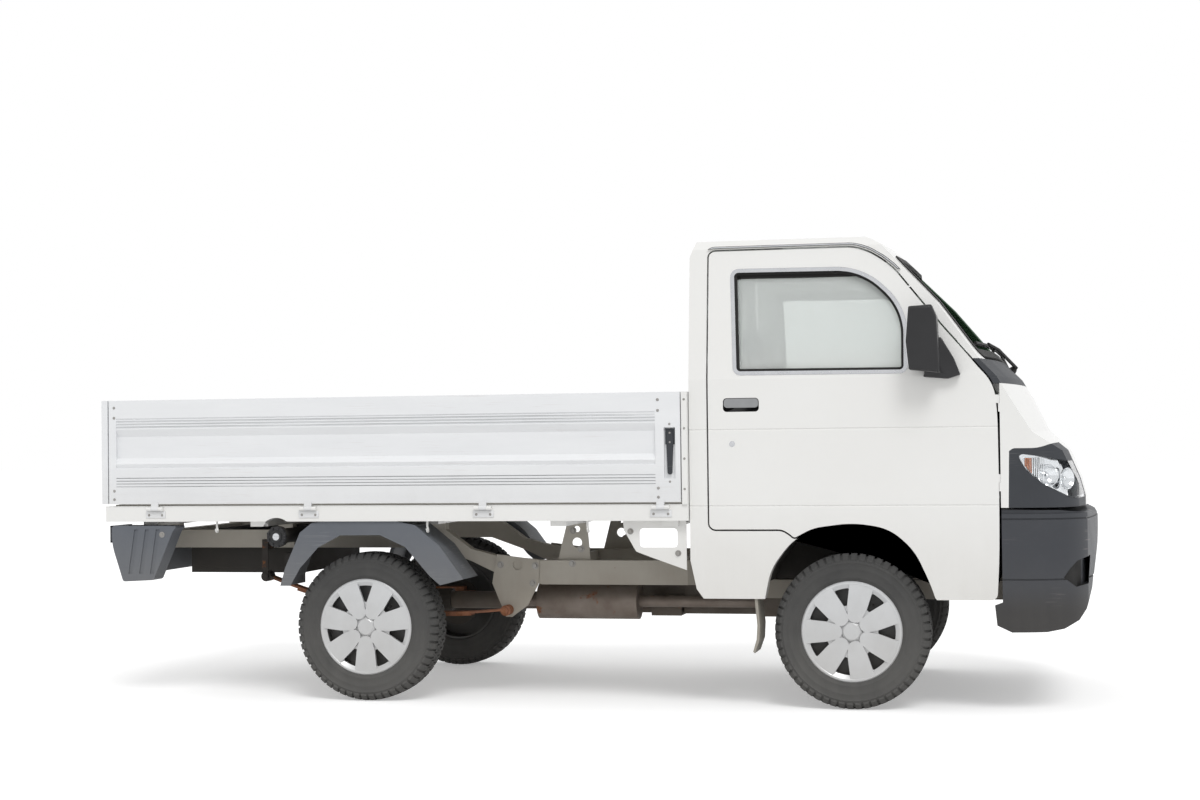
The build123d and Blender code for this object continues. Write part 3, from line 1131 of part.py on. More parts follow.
with BuildPart(mode=Mode.PRIVATE) as bumper_hollow:
    nose_plan(NOSE_X, CAB_Y - BUMPER_THICK, FRONT_AXLE_X + 499, 285, BUMPER_TOP)
    side_prism(BUMPER_HOLLOW, -CAB_Y, CAB_Y, mode=Mode.INTERSECT)
    add(outside_plan(BUMPER_THICK, 284, BUMPER_TOP + 1), mode=Mode.SUBTRACT)

with BuildPart() as front_bumper:
    nose_plan(NOSE_X, CAB_Y, FRONT_AXLE_X + 500, 284, BUMPER_TOP)
    side_prism(BUMPER_SIDE, -CAB_Y, CAB_Y, mode=Mode.INTERSECT)
    for z in BUMPER_CREASES:
        add(outside_plan(CREASE_DEPTH, z - 3, z + 3), mode=Mode.SUBTRACT)
    # The top edge steps in all round, so that a ledge shows below the lamps.
    add(outside_plan(10, BUMPER_TOP - 16, BUMPER_TOP + 1), mode=Mode.SUBTRACT)
    add(fog_pockets.part, mode=Mode.SUBTRACT)
    add(bumper_hollow.part, mode=Mode.SUBTRACT)
    for z in INTAKE_SLOTS:
        slot_back = FRONT_AXLE_X + 815 + 0.43 * (z - INTAKE_SLOTS[0]) - INTAKE_DEPTH
        block(slot_back, NOSE_X, -INTAKE_HALF, INTAKE_HALF, z, z + INTAKE_SLOT, mode=Mode.SUBTRACT)
    for side in (-1, 1):
        bracket = sorted((side * (FRONT_RAIL_Y - 25), side * (FRONT_RAIL_Y + 25)))
        block(RAIL_END_X + SEAT_GAP, FRONT_AXLE_X + 790, *bracket, RAIL_FRONT_BOTTOM + 5, RAIL_FRONT_TOP - 5)
save(front_bumper, "front_bumper")
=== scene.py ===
"""Finishes, trim, tyres, seats, light and camera of a small cab-over truck with a drop-side bed.

Metres.  X points to the truck's front, Y to its left and Z up, with the ground at Z = 0.
"""

from __future__ import annotations

import json
import logging
import math
from collections.abc import Callable, Iterable, Sequence
from dataclasses import dataclass, field
from enum import Enum

import bmesh
import bpy
from mathutils import Matrix, Vector
from mathutils.bvhtree import BVHTree

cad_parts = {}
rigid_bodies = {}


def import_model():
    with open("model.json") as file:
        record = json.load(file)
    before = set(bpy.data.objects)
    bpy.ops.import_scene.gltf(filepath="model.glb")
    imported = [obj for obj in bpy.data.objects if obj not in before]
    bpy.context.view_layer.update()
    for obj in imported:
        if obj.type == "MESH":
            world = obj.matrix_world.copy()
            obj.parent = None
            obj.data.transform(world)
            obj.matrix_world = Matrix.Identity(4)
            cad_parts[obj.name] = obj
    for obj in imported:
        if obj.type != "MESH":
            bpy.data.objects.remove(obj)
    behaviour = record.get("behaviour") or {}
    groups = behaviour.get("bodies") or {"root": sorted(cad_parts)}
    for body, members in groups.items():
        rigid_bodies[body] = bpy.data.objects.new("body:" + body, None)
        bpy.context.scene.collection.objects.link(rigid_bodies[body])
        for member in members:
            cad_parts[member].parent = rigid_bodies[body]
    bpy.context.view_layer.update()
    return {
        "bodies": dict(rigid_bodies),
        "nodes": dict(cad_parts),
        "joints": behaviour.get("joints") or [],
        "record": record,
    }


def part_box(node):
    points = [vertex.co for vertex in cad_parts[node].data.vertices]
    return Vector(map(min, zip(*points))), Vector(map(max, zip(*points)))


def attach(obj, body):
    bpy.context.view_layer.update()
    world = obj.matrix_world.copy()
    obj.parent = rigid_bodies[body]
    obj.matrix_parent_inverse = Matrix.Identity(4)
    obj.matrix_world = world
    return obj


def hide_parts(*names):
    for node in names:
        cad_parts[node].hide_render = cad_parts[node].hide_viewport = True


LOG = logging.getLogger("truck")

Colour = tuple[float, float, float]
Triple = tuple[float, float, float]
Pair = tuple[float, float]
Window = tuple[float, float, float, float]
Mesh = bmesh.types.BMesh
Face = bmesh.types.BMFace
Socket = bpy.types.NodeSocket
Picker = Callable[[Face], bool]

# Vertices nearer to each other than this are one.
WELD = 1e-5

# How far the liner of a dark recess stands off the recess.
LINER_LIFT = 0.0003

# The boards' pressed grooves: the lowest and highest of each set, their pitch, the colour of the painted
# shade along them, and how far they run.
GROOVE_LINES = ((0.815, 0.848), (1.042, 1.075))
GROOVE_PITCH = 0.011
GROOVE_SHADE: Colour = (0.30, 0.31, 0.32)
BOARD_ENDS = (-1.812, 0.312)

# Nodes whose finish differs from the rest of their slot.
OWN_FINISH = {
    "cab_glass": "screen_glass",
    "door_handle_left": "handle_silver",
    "door_handle_right": "handle_silver",
}


class Side(Enum):
    """A side of the truck, and the way that it lies along Y."""

    LEFT = 1.0
    RIGHT = -1.0

    def __str__(self) -> str:
        """The side's name, as the nodes have it."""
        return self.name.lower()


# ---------------------------------------------------------------------------------------------
# Mesh helpers
# ---------------------------------------------------------------------------------------------


def publish(
    mesh: Mesh,
    name: str,
    body: str,
    finish: str,
    crease: float = 32.0,
    outwards: bool = True,
) -> bpy.types.Object:
    """Turns a finished bmesh into a piece that rides on a body.

    Args:
        mesh: The shape, in the truck's frame. It is freed.
        name: The piece's name.
        body: The body that carries it.
        finish: The material slot whose finish it takes.
        crease: Edges sharper than this many degrees stay sharp.
        outwards: Whether the normals are recalculated to point outwards.

    Returns:
        The new piece.
    """
    if outwards:
        bmesh.ops.recalc_face_normals(mesh, faces=mesh.faces)
    for face in mesh.faces:
        face.smooth = True
    data = bpy.data.meshes.new(name)
    mesh.to_mesh(data)
    mesh.free()
    data.set_sharp_from_angle(angle=math.radians(crease))
    data.materials.append(bpy.data.materials[finish])
    piece = bpy.data.objects.new(name, data)
    bpy.context.scene.collection.objects.link(piece)
    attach(piece, body)
    LOG.info("%s: %d faces, rides on %s", name, len(data.polygons), body)
    return piece


def standing(centre: Sequence[float], axis: Sequence[float]) -> Matrix:
    """The placing of something that stands at centre, with its Z along axis."""
    return Matrix.Translation(Vector(centre)) @ Vector(axis).to_track_quat("Z", "Y").to_matrix().to_4x4()


def around(angle: float) -> Vector:
    """The direction at an angle round a wheel's or a cap's axis, from the truck's front upwards."""
    return Vector((math.cos(angle), 0.0, math.sin(angle)))


def within(window: Window, point: Vector, front: float, margin: float = 0.0) -> bool:
    """Whether a point lies in a window that is drawn on the truck's side.

    Args:
        window: Its lowest and highest X from the front axle, and its lowest and highest Z.
        point: The point.
        front: Where the front axle is.
        margin: How far outside the window still counts.

    Returns:
        Whether it does.
    """
    low_x, high_x, low_z, high_z = window
    along = low_x - margin < point.x - front < high_x + margin
    return along and low_z - margin < point.z < high_z + margin


def round_off(mesh: Mesh, edges: list, width: float, segments: int = 2) -> None:
    """Rounds edges off.

    Args:
        mesh: The bmesh.
        edges: The edges.
        width: The width of the rounding.
        segments: How many faces it has across.
    """
    bmesh.ops.bevel(
        mesh, geom=edges, offset=width, affect="EDGES", segments=segments, profile=0.5, material=-1
    )


def extrude(mesh: Mesh, faces: list, move: Sequence[float]) -> None:
    """Pulls faces out along a move, with walls behind them.

    Args:
        mesh: The bmesh.
        faces: The faces.
        move: How far they go.
    """
    grown = bmesh.ops.extrude_face_region(mesh, geom=faces)["geom"]
    moved = [item for item in grown if isinstance(item, bmesh.types.BMVert)]
    bmesh.ops.translate(mesh, verts=moved, vec=Vector(move))


def add_block(mesh: Mesh, low: Sequence[float], high: Sequence[float], bevel: float = 0.0) -> list:
    """Adds a box between two corners, with its edges rounded.

    Args:
        mesh: The bmesh that it joins.
        low: The lowest corner.
        high: The highest corner.
        bevel: The width of the rounding.

    Returns:
        The box's vertices before the rounding.
    """
    low, high = Vector(low), Vector(high)
    place = Matrix.Translation((low + high) / 2) @ Matrix.Diagonal((*(high - low), 1.0))
    verts = bmesh.ops.create_cube(mesh, size=1.0, matrix=place)["verts"]
    if bevel > 0.0:
        round_off(mesh, list({edge for vert in verts for edge in vert.link_edges}), bevel)
    return verts


def add_disc(
    mesh: Mesh,
    centre: Sequence[float],
    axis: Sequence[float],
    radius: float,
    depth: float,
    top_radius: float | None = None,
    segments: int = 24,
) -> list:
    """Adds a cylinder or cone that stands on centre and runs along axis.

    Args:
        mesh: The bmesh that it joins.
        centre: The middle of its base.
        axis: The direction in which it stands.
        radius: The base's radius.
        depth: Its height.
        top_radius: The top's radius, or None for the base's.
        segments: The number of sides.

    Returns:
        The new vertices.
    """
    place = standing(centre, axis) @ Matrix.Translation((0, 0, depth / 2))
    return bmesh.ops.create_cone(
        mesh,
        cap_ends=True,
        segments=segments,
        radius1=radius,
        radius2=radius if top_radius is None else top_radius,
        depth=depth,
        matrix=place,
    )["verts"]


def add_bolt(mesh: Mesh, centre: Sequence[float], axis: Sequence[float], across: float) -> None:
    """Adds a hexagonal bolt head on its washer.

    Args:
        mesh: The bmesh that it joins.
        centre: Where the washer sits.
        axis: The way that the head faces.
        across: The head's width across its flats.
    """
    direction = Vector(axis).normalized()
    washer = across * 0.12
    add_disc(mesh, centre, direction, across * 0.95, washer, segments=20)
    seat = Vector(centre) + direction * washer
    add_disc(mesh, seat, direction, across * 0.577, across * 0.5, across * 0.54, segments=6)


def add_rivet(mesh: Mesh, centre: Sequence[float], axis: Sequence[float], radius: float) -> None:
    """Adds a low domed rivet head.

    Args:
        mesh: The bmesh that it joins.
        centre: Where it sits.
        axis: The way that it faces.
        radius: The head's radius.
    """
    direction = Vector(axis).normalized()
    add_disc(mesh, centre, direction, radius, radius * 0.3, radius * 0.85, segments=12)
    crown = Vector(centre) + direction * radius * 0.3
    add_disc(mesh, crown, direction, radius * 0.85, radius * 0.2, radius * 0.4, segments=12)


def add_tube(mesh: Mesh, path: Sequence[Vector], radius: float, sides: int = 10) -> None:
    """Adds a round bar along a path of points.

    Args:
        mesh: The bmesh that it joins.
        path: The middle line's points.
        radius: The bar's radius.
        sides: The number of sides.
    """
    ring = None
    for index, point in enumerate(path):
        ahead = path[min(index + 1, len(path) - 1)] - path[max(index - 1, 0)]
        made = bmesh.ops.create_circle(
            mesh, segments=sides, radius=radius, matrix=standing(point, ahead),
            cap_ends=index in (0, len(path) - 1),
        )["verts"]
        edges = [edge for edge in {e for v in made for e in v.link_edges} if set(edge.verts) <= set(made)]
        if ring:
            bmesh.ops.bridge_loops(mesh, edges=ring + edges)
        ring = edges


def welded(node: str) -> Mesh:
    """A welded working copy of a CAD node's mesh."""
    mesh = bmesh.new()
    mesh.from_mesh(bpy.data.objects[node].data)
    bmesh.ops.remove_doubles(mesh, verts=mesh.verts, dist=WELD)
    return mesh


def keep_faces(mesh: Mesh, kept: Iterable[Face]) -> None:
    """Deletes every face of a mesh that isn't among the kept ones."""
    wanted = set(kept)
    bmesh.ops.delete(mesh, geom=[face for face in mesh.faces if face not in wanted], context="FACES")


@dataclass
class Surface:
    """A CAD node's surface, for seating small pieces on it."""

    node: str
    tree: BVHTree = field(init=False)

    def __post_init__(self) -> None:
        """Builds the search tree from the node's mesh."""
        mesh = welded(self.node)
        self.tree = BVHTree.FromBMesh(mesh)
        mesh.free()

    def hit(self, start: Sequence[float], direction: Sequence[float]) -> tuple[Vector, Vector]:
        """Finds where a straight line meets the surface.

        Args:
            start: Where the line starts.
            direction: The way that it runs.

        Returns:
            The point that it meets and the surface's normal there.
        """
        point, normal, _, _ = self.tree.ray_cast(Vector(start), Vector(direction).normalized())
        if point is None:
            raise ValueError(f"the line from {tuple(start)} misses {self.node}")
        return point, normal


# ---------------------------------------------------------------------------------------------
# Shader helpers
# ---------------------------------------------------------------------------------------------


@dataclass
class Graph:
    """Adds and links shader nodes in one node tree."""

    tree: bpy.types.NodeTree

    def add(self, kind: str, settings: dict[str, object] | None = None, **inputs: object) -> bpy.types.Node:
        """Adds a node.

        Args:
            kind: The node's type.
            settings: Its own properties by name.
            **inputs: Its sockets, with an underscore for a space, as values or other nodes' sockets.

        Returns:
            The new node.
        """
        node = self.tree.nodes.new(kind)
        for name, value in (settings or {}).items():
            setattr(node, name, value)
        for name, value in inputs.items():
            self.feed(node.inputs[name.replace("_", " ")], value)
        return node

    def feed(self, socket: Socket, value: object) -> None:
        """Links a socket to another, or sets its value."""
        if isinstance(value, Socket):
            self.tree.links.new(value, socket)
        elif isinstance(value, tuple) and socket.type == "RGBA":
            socket.default_value = (*value[:3], 1.0)
        else:
            socket.default_value = value

    def maths(self, operation: str, a: object, b: object = 0.0, clamp: bool = False) -> Socket:
        """The result of a Math node."""
        node = self.add("ShaderNodeMath", {"operation": operation, "use_clamp": clamp})
        self.feed(node.inputs[0], a)
        self.feed(node.inputs[1], b)
        return node.outputs[0]

    def times(self, *factors: object) -> Socket:
        """The product of two or more values.

        Args:
            *factors: The values, as numbers or sockets.

        Returns:
            The product.
        """
        result = factors[0]
        for factor in factors[1:]:
            result = self.maths("MULTIPLY", result, factor)
        return result

    def between(self, value: object, low: float, high: float, start: float = 0.0, end: float = 1.0) -> object:
        """A value taken from the range low to high into start to end, smoothly and clamped."""
        node = self.add(
            "ShaderNodeMapRange", {"interpolation_type": "SMOOTHSTEP"},
            From_Min=low, From_Max=high, To_Min=start, To_Max=end,
        )
        self.feed(node.inputs["Value"], value)
        return node.outputs["Result"]

    def mix(self, factor: object, a: object, b: object) -> Socket:
        """Two colours mixed by a factor."""
        node = self.add("ShaderNodeMix", {"data_type": "RGBA"})
        self.feed(node.inputs[0], factor)
        self.feed(node.inputs[6], a)
        self.feed(node.inputs[7], b)
        return node.outputs[2]

    def stretched(self, vector: object, scale: Colour) -> Socket:
        """A position scaled along each axis."""
        node = self.add("ShaderNodeMapping", Scale=scale)
        self.feed(node.inputs["Vector"], vector)
        return node.outputs[0]

    def noise(self, vector: object, scale: object, detail: float = 4.0, rough: float = 0.55) -> object:
        """The value of a noise texture."""
        node = self.add("ShaderNodeTexNoise", Scale=scale, Detail=detail, Roughness=rough)
        self.feed(node.inputs["Vector"], vector)
        return node.outputs["Fac"]

    def group(self, name: str, **inputs: object) -> bpy.types.Node:
        """Places a shader group."""
        node = self.tree.nodes.new("ShaderNodeGroup")
        node.node_tree = bpy.data.node_groups[name]
        for key, value in inputs.items():
            self.feed(node.inputs[key.replace("_", " ")], value)
        return node


def open_material(name: str) -> tuple[bpy.types.Material, Graph, bpy.types.Node, Socket]:
    """Starts a material.

    Args:
        name: The material's name.

    Returns:
        The material, its graph, its main shader and the object coordinates.
    """
    material = bpy.data.materials.new(name)
    material.use_nodes = True
    graph = Graph(material.node_tree)
    place = graph.add("ShaderNodeTexCoord").outputs["Object"]
    return material, graph, material.node_tree.nodes["Principled BSDF"], place


class Kind(Enum):
    """The socket types that the groups use."""

    NUMBER = "NodeSocketFloat"
    VECTOR = "NodeSocketVector"
    COLOUR = "NodeSocketColor"


def open_group(name: str, inputs: dict[str, Kind], outputs: dict[str, Kind]) -> tuple[Graph, dict, dict]:
    """Starts a shader group with named inputs and outputs.

    Args:
        name: The group's name.
        inputs: Its inputs and their types.
        outputs: Its outputs and their types.

    Returns:
        The graph, the input sockets by name and the output sockets by name.
    """
    tree = bpy.data.node_groups.new(name, "ShaderNodeTree")
    for key, kind in inputs.items():
        tree.interface.new_socket(name=key, in_out="INPUT", socket_type=kind.value)
    for key, kind in outputs.items():
        tree.interface.new_socket(name=key, in_out="OUTPUT", socket_type=kind.value)
    start = tree.nodes.new("NodeGroupInput")
    end = tree.nodes.new("NodeGroupOutput")
    return Graph(tree), {k: start.outputs[k] for k in inputs}, {k: end.inputs[k] for k in outputs}


class Effects:
    """The surface effects that several finishes share, each a shader group."""

    def build(self) -> None:
        """Makes every group."""
        self.mottle()
        self.road_film()
        self.rust()
        self.scuffs()

    def mottle(self) -> None:
        """Broad uneven patches in a colour."""
        graph, given, out = open_group(
            "mottle", {"Vector": Kind.VECTOR, "Scale": Kind.NUMBER, "Contrast": Kind.NUMBER},
            {"Mask": Kind.NUMBER},
        )
        broad = graph.noise(given["Vector"], given["Scale"], 6.0, 0.6)
        centred = graph.maths("SUBTRACT", broad, 0.5)
        spread = graph.maths("MULTIPLY", centred, given["Contrast"])
        graph.feed(out["Mask"], graph.maths("ADD", spread, 0.5, clamp=True))

    def road_film(self) -> None:
        """Dust that lies thick low down and thins out upwards in streaks."""
        graph, given, out = open_group(
            "road film",
            {"Vector": Kind.VECTOR, "Bottom": Kind.NUMBER, "Top": Kind.NUMBER, "Amount": Kind.NUMBER},
            {"Mask": Kind.NUMBER},
        )
        height = graph.add("ShaderNodeSeparateXYZ", Vector=given["Vector"]).outputs["Z"]
        reach = graph.add("ShaderNodeMapRange", {"interpolation_type": "SMOOTHSTEP"}, To_Min=1.0, To_Max=0.0)
        graph.feed(reach.inputs["Value"], height)
        graph.feed(reach.inputs["From Min"], given["Bottom"])
        graph.feed(reach.inputs["From Max"], given["Top"])
        streaks = graph.noise(graph.stretched(given["Vector"], (22.0, 22.0, 3.0)), 1.0, 5.0, 0.6)
        clouds = graph.noise(given["Vector"], 4.0, 6.0, 0.62)
        broken = graph.maths("ADD", graph.times(streaks, 0.6), graph.times(clouds, 0.9))
        amount = graph.times(reach.outputs["Result"], broken, given["Amount"])
        graph.feed(out["Mask"], graph.maths("MULTIPLY", amount, 1.3, clamp=True))

    def rust(self) -> None:
        """Rust that breaks through in blotches with darker hearts."""
        graph, given, out = open_group(
            "rust", {"Vector": Kind.VECTOR, "Scale": Kind.NUMBER, "Amount": Kind.NUMBER},
            {"Mask": Kind.NUMBER, "Colour": Kind.COLOUR},
        )
        blotches = graph.noise(given["Vector"], given["Scale"], 10.0, 0.68)
        edge = graph.maths("SUBTRACT", 1.0, graph.maths("MULTIPLY", given["Amount"], 0.62))
        lifted = graph.maths("SUBTRACT", blotches, graph.maths("MULTIPLY", edge, 0.72))
        graph.feed(out["Mask"], graph.maths("MULTIPLY", lifted, 14.0, clamp=True))
        fine = graph.noise(given["Vector"], 60.0, 6.0, 0.7)
        graph.feed(out["Colour"], graph.mix(fine, (0.075, 0.028, 0.014), (0.30, 0.115, 0.040)))

    def scuffs(self) -> None:
        """Short pale scratches that run mostly along the truck."""
        graph, given, out = open_group(
            "scuffs", {"Vector": Kind.VECTOR, "Amount": Kind.NUMBER}, {"Mask": Kind.NUMBER}
        )
        lines = graph.noise(graph.stretched(given["Vector"], (9.0, 9.0, 260.0)), 1.0, 3.0, 0.5)
        sharp = graph.between(lines, 0.58, 0.68)
        where = graph.between(graph.noise(given["Vector"], 3.2, 3.0, 0.5), 0.47, 0.62)
        graph.feed(out["Mask"], graph.times(sharp, where, given["Amount"]))


@dataclass(frozen=True)
class Zone:
    """A stretch along one axis where a finish has another colour."""

    axis: str
    start: float
    end: float
    colour: Colour

    def tint(self, graph: Graph, place: Socket, colour: object) -> Socket:
        """Mixes the zone's colour in.

        Args:
            graph: The material's graph.
            place: The object coordinates.
            colour: The colour outside the zone.

        Returns:
            The mixed colour.
        """
        along = graph.add("ShaderNodeSeparateXYZ", Vector=place).outputs[self.axis]
        return graph.mix(graph.between(along, self.start, self.end), colour, self.colour)


@dataclass(frozen=True)
class Finish:
    """The look of one material slot, from its clean colour to its dirt, with painted shade along the boards'
    grooves where it has them.
    """

    slot: str
    clean: Colour
    faded: Colour
    roughness: float
    metallic: float = 0.0
    coat: float = 0.0
    patch_scale: float = 3.0
    contrast: float = 1.4
    run: Colour = (1.0, 1.0, 1.0)
    grain_scale: float = 500.0
    grain_run: Colour = (1.0, 1.0, 1.0)
    grain_depth: float = 0.0
    film: float = 0.0
    film_bottom: float = 0.25
    film_top: float = 0.85
    film_colour: Colour = (0.36, 0.31, 0.25)
    rust: float = 0.0
    rust_scale: float = 7.0
    scuff: float = 0.0
    scuff_colour: Colour = (0.62, 0.58, 0.57)
    specular: float = 0.5
    zone: Zone | None = None
    grooves: bool = False

    def build(self) -> bpy.types.Material:
        """Makes the material.

        Returns:
            The new material, named after its slot.
        """
        material, graph, shader, place = open_material(self.slot)
        mottle = graph.group(
            "mottle", Vector=graph.stretched(place, self.run), Scale=self.patch_scale, Contrast=self.contrast
        ).outputs["Mask"]
        colour = graph.mix(mottle, self.clean, self.faded)
        rough = graph.between(mottle, 0.0, 1.0, self.roughness * 0.85, min(1.0, self.roughness * 1.2))
        if self.zone:
            colour = self.zone.tint(graph, place, colour)
        # Grooved finishes get painted shade along the pressed grooves.
        if self.grooves:
            colour = graph.mix(self.groove_dirt(graph, place), colour, GROOVE_SHADE)
        if self.scuff > 0.0:
            scuff = graph.group("scuffs", Vector=place, Amount=self.scuff).outputs["Mask"]
            colour = graph.mix(scuff, colour, self.scuff_colour)
        metal: object = self.metallic
        if self.rust > 0.0:
            rust = graph.group("rust", Vector=place, Scale=self.rust_scale, Amount=self.rust)
            colour = graph.mix(rust.outputs["Mask"], colour, rust.outputs["Colour"])
            rough = graph.maths("MAXIMUM", rough, graph.maths("MULTIPLY", rust.outputs["Mask"], 0.85))
            if self.metallic > 0.0:
                bare = graph.maths("SUBTRACT", 1.0, rust.outputs["Mask"])
                metal = graph.maths("MULTIPLY", bare, self.metallic)
        if self.film > 0.0:
            film = graph.group(
                "road film", Vector=place, Bottom=self.film_bottom, Top=self.film_top, Amount=self.film
            ).outputs["Mask"]
            colour = graph.mix(film, colour, self.film_colour)
            rough = graph.maths("MAXIMUM", rough, graph.maths("MULTIPLY", film, 0.9))
        graph.feed(shader.inputs["Base Color"], colour)
        graph.feed(shader.inputs["Roughness"], rough)
        graph.feed(shader.inputs["Metallic"], metal)
        shader.inputs["Coat Weight"].default_value = self.coat
        shader.inputs["Coat Roughness"].default_value = 0.08
        shader.inputs["Specular IOR Level"].default_value = self.specular
        if self.grain_depth > 0.0:
            grain = graph.noise(graph.stretched(place, self.grain_run), self.grain_scale, 3.0, 0.6)
            bump = graph.add("ShaderNodeBump", Strength=0.6, Distance=self.grain_depth, Height=grain)
            graph.feed(shader.inputs["Normal"], bump.outputs["Normal"])
        return material

    def groove_dirt(self, graph: Graph, place: Socket) -> Socket:
        """A mask of the painted shade along the boards' pressed grooves, unevenly strong.

        Args:
            graph: The material's graph.
            place: The object coordinates.

        Returns:
            The mask.
        """
        parts = graph.add("ShaderNodeSeparateXYZ", Vector=place).outputs
        from_groove = graph.maths("SUBTRACT", parts["Z"], GROOVE_LINES[0][0])
        lines = graph.between(graph.maths("PINGPONG", from_groove, GROOVE_PITCH / 2), 0.0022, 0.0009)
        bands = None
        for low, high in GROOVE_LINES:
            above = graph.between(parts["Z"], low - 0.0040, low - 0.0030)
            below = graph.between(parts["Z"], high + 0.0040, high + 0.0030)
            band = graph.times(above, below)
            bands = band if bands is None else graph.maths("MAXIMUM", bands, band)
        rear, front = BOARD_ENDS
        behind = graph.between(parts["X"], rear, rear + 0.001)
        ahead = graph.between(parts["X"], front, front - 0.001)
        thick = graph.noise(graph.stretched(place, (1.5, 1.5, 40.0)), 1.0, 4.0)
        return graph.times(lines, bands, behind, ahead, graph.between(thick, 0.30, 0.60, 0.35, 0.85))


@dataclass(frozen=True)
class Clear:
    """Glass or a clear moulding, with a light film of dirt, and a painted reflection where a zone is given.
    """

    slot: str
    tint: Colour
    roughness: float
    haze: float
    haze_bottom: float
    haze_top: float
    specular: float = 0.5
    transmission: float = 1.0
    ior: float = 1.12
    zone: Zone | None = None

    def build(self) -> bpy.types.Material:
        """Makes the material.

        Returns:
            The new material, named after its slot.
        """
        material, graph, shader, place = open_material(self.slot)
        film = graph.group(
            "road film", Vector=place, Bottom=self.haze_bottom, Top=self.haze_top, Amount=self.haze
        ).outputs["Mask"]
        tint: object = self.tint
        if self.zone:
            tint = self.zone.tint(graph, place, tint)
        graph.feed(shader.inputs["Base Color"], graph.mix(film, tint, (0.92, 0.92, 0.90)))
        graph.feed(shader.inputs["Roughness"], graph.between(film, 0.0, 1.0, self.roughness, 0.55))
        shader.inputs["Transmission Weight"].default_value = self.transmission
        shader.inputs["IOR"].default_value = self.ior
        shader.inputs["Specular IOR Level"].default_value = self.specular
        return material


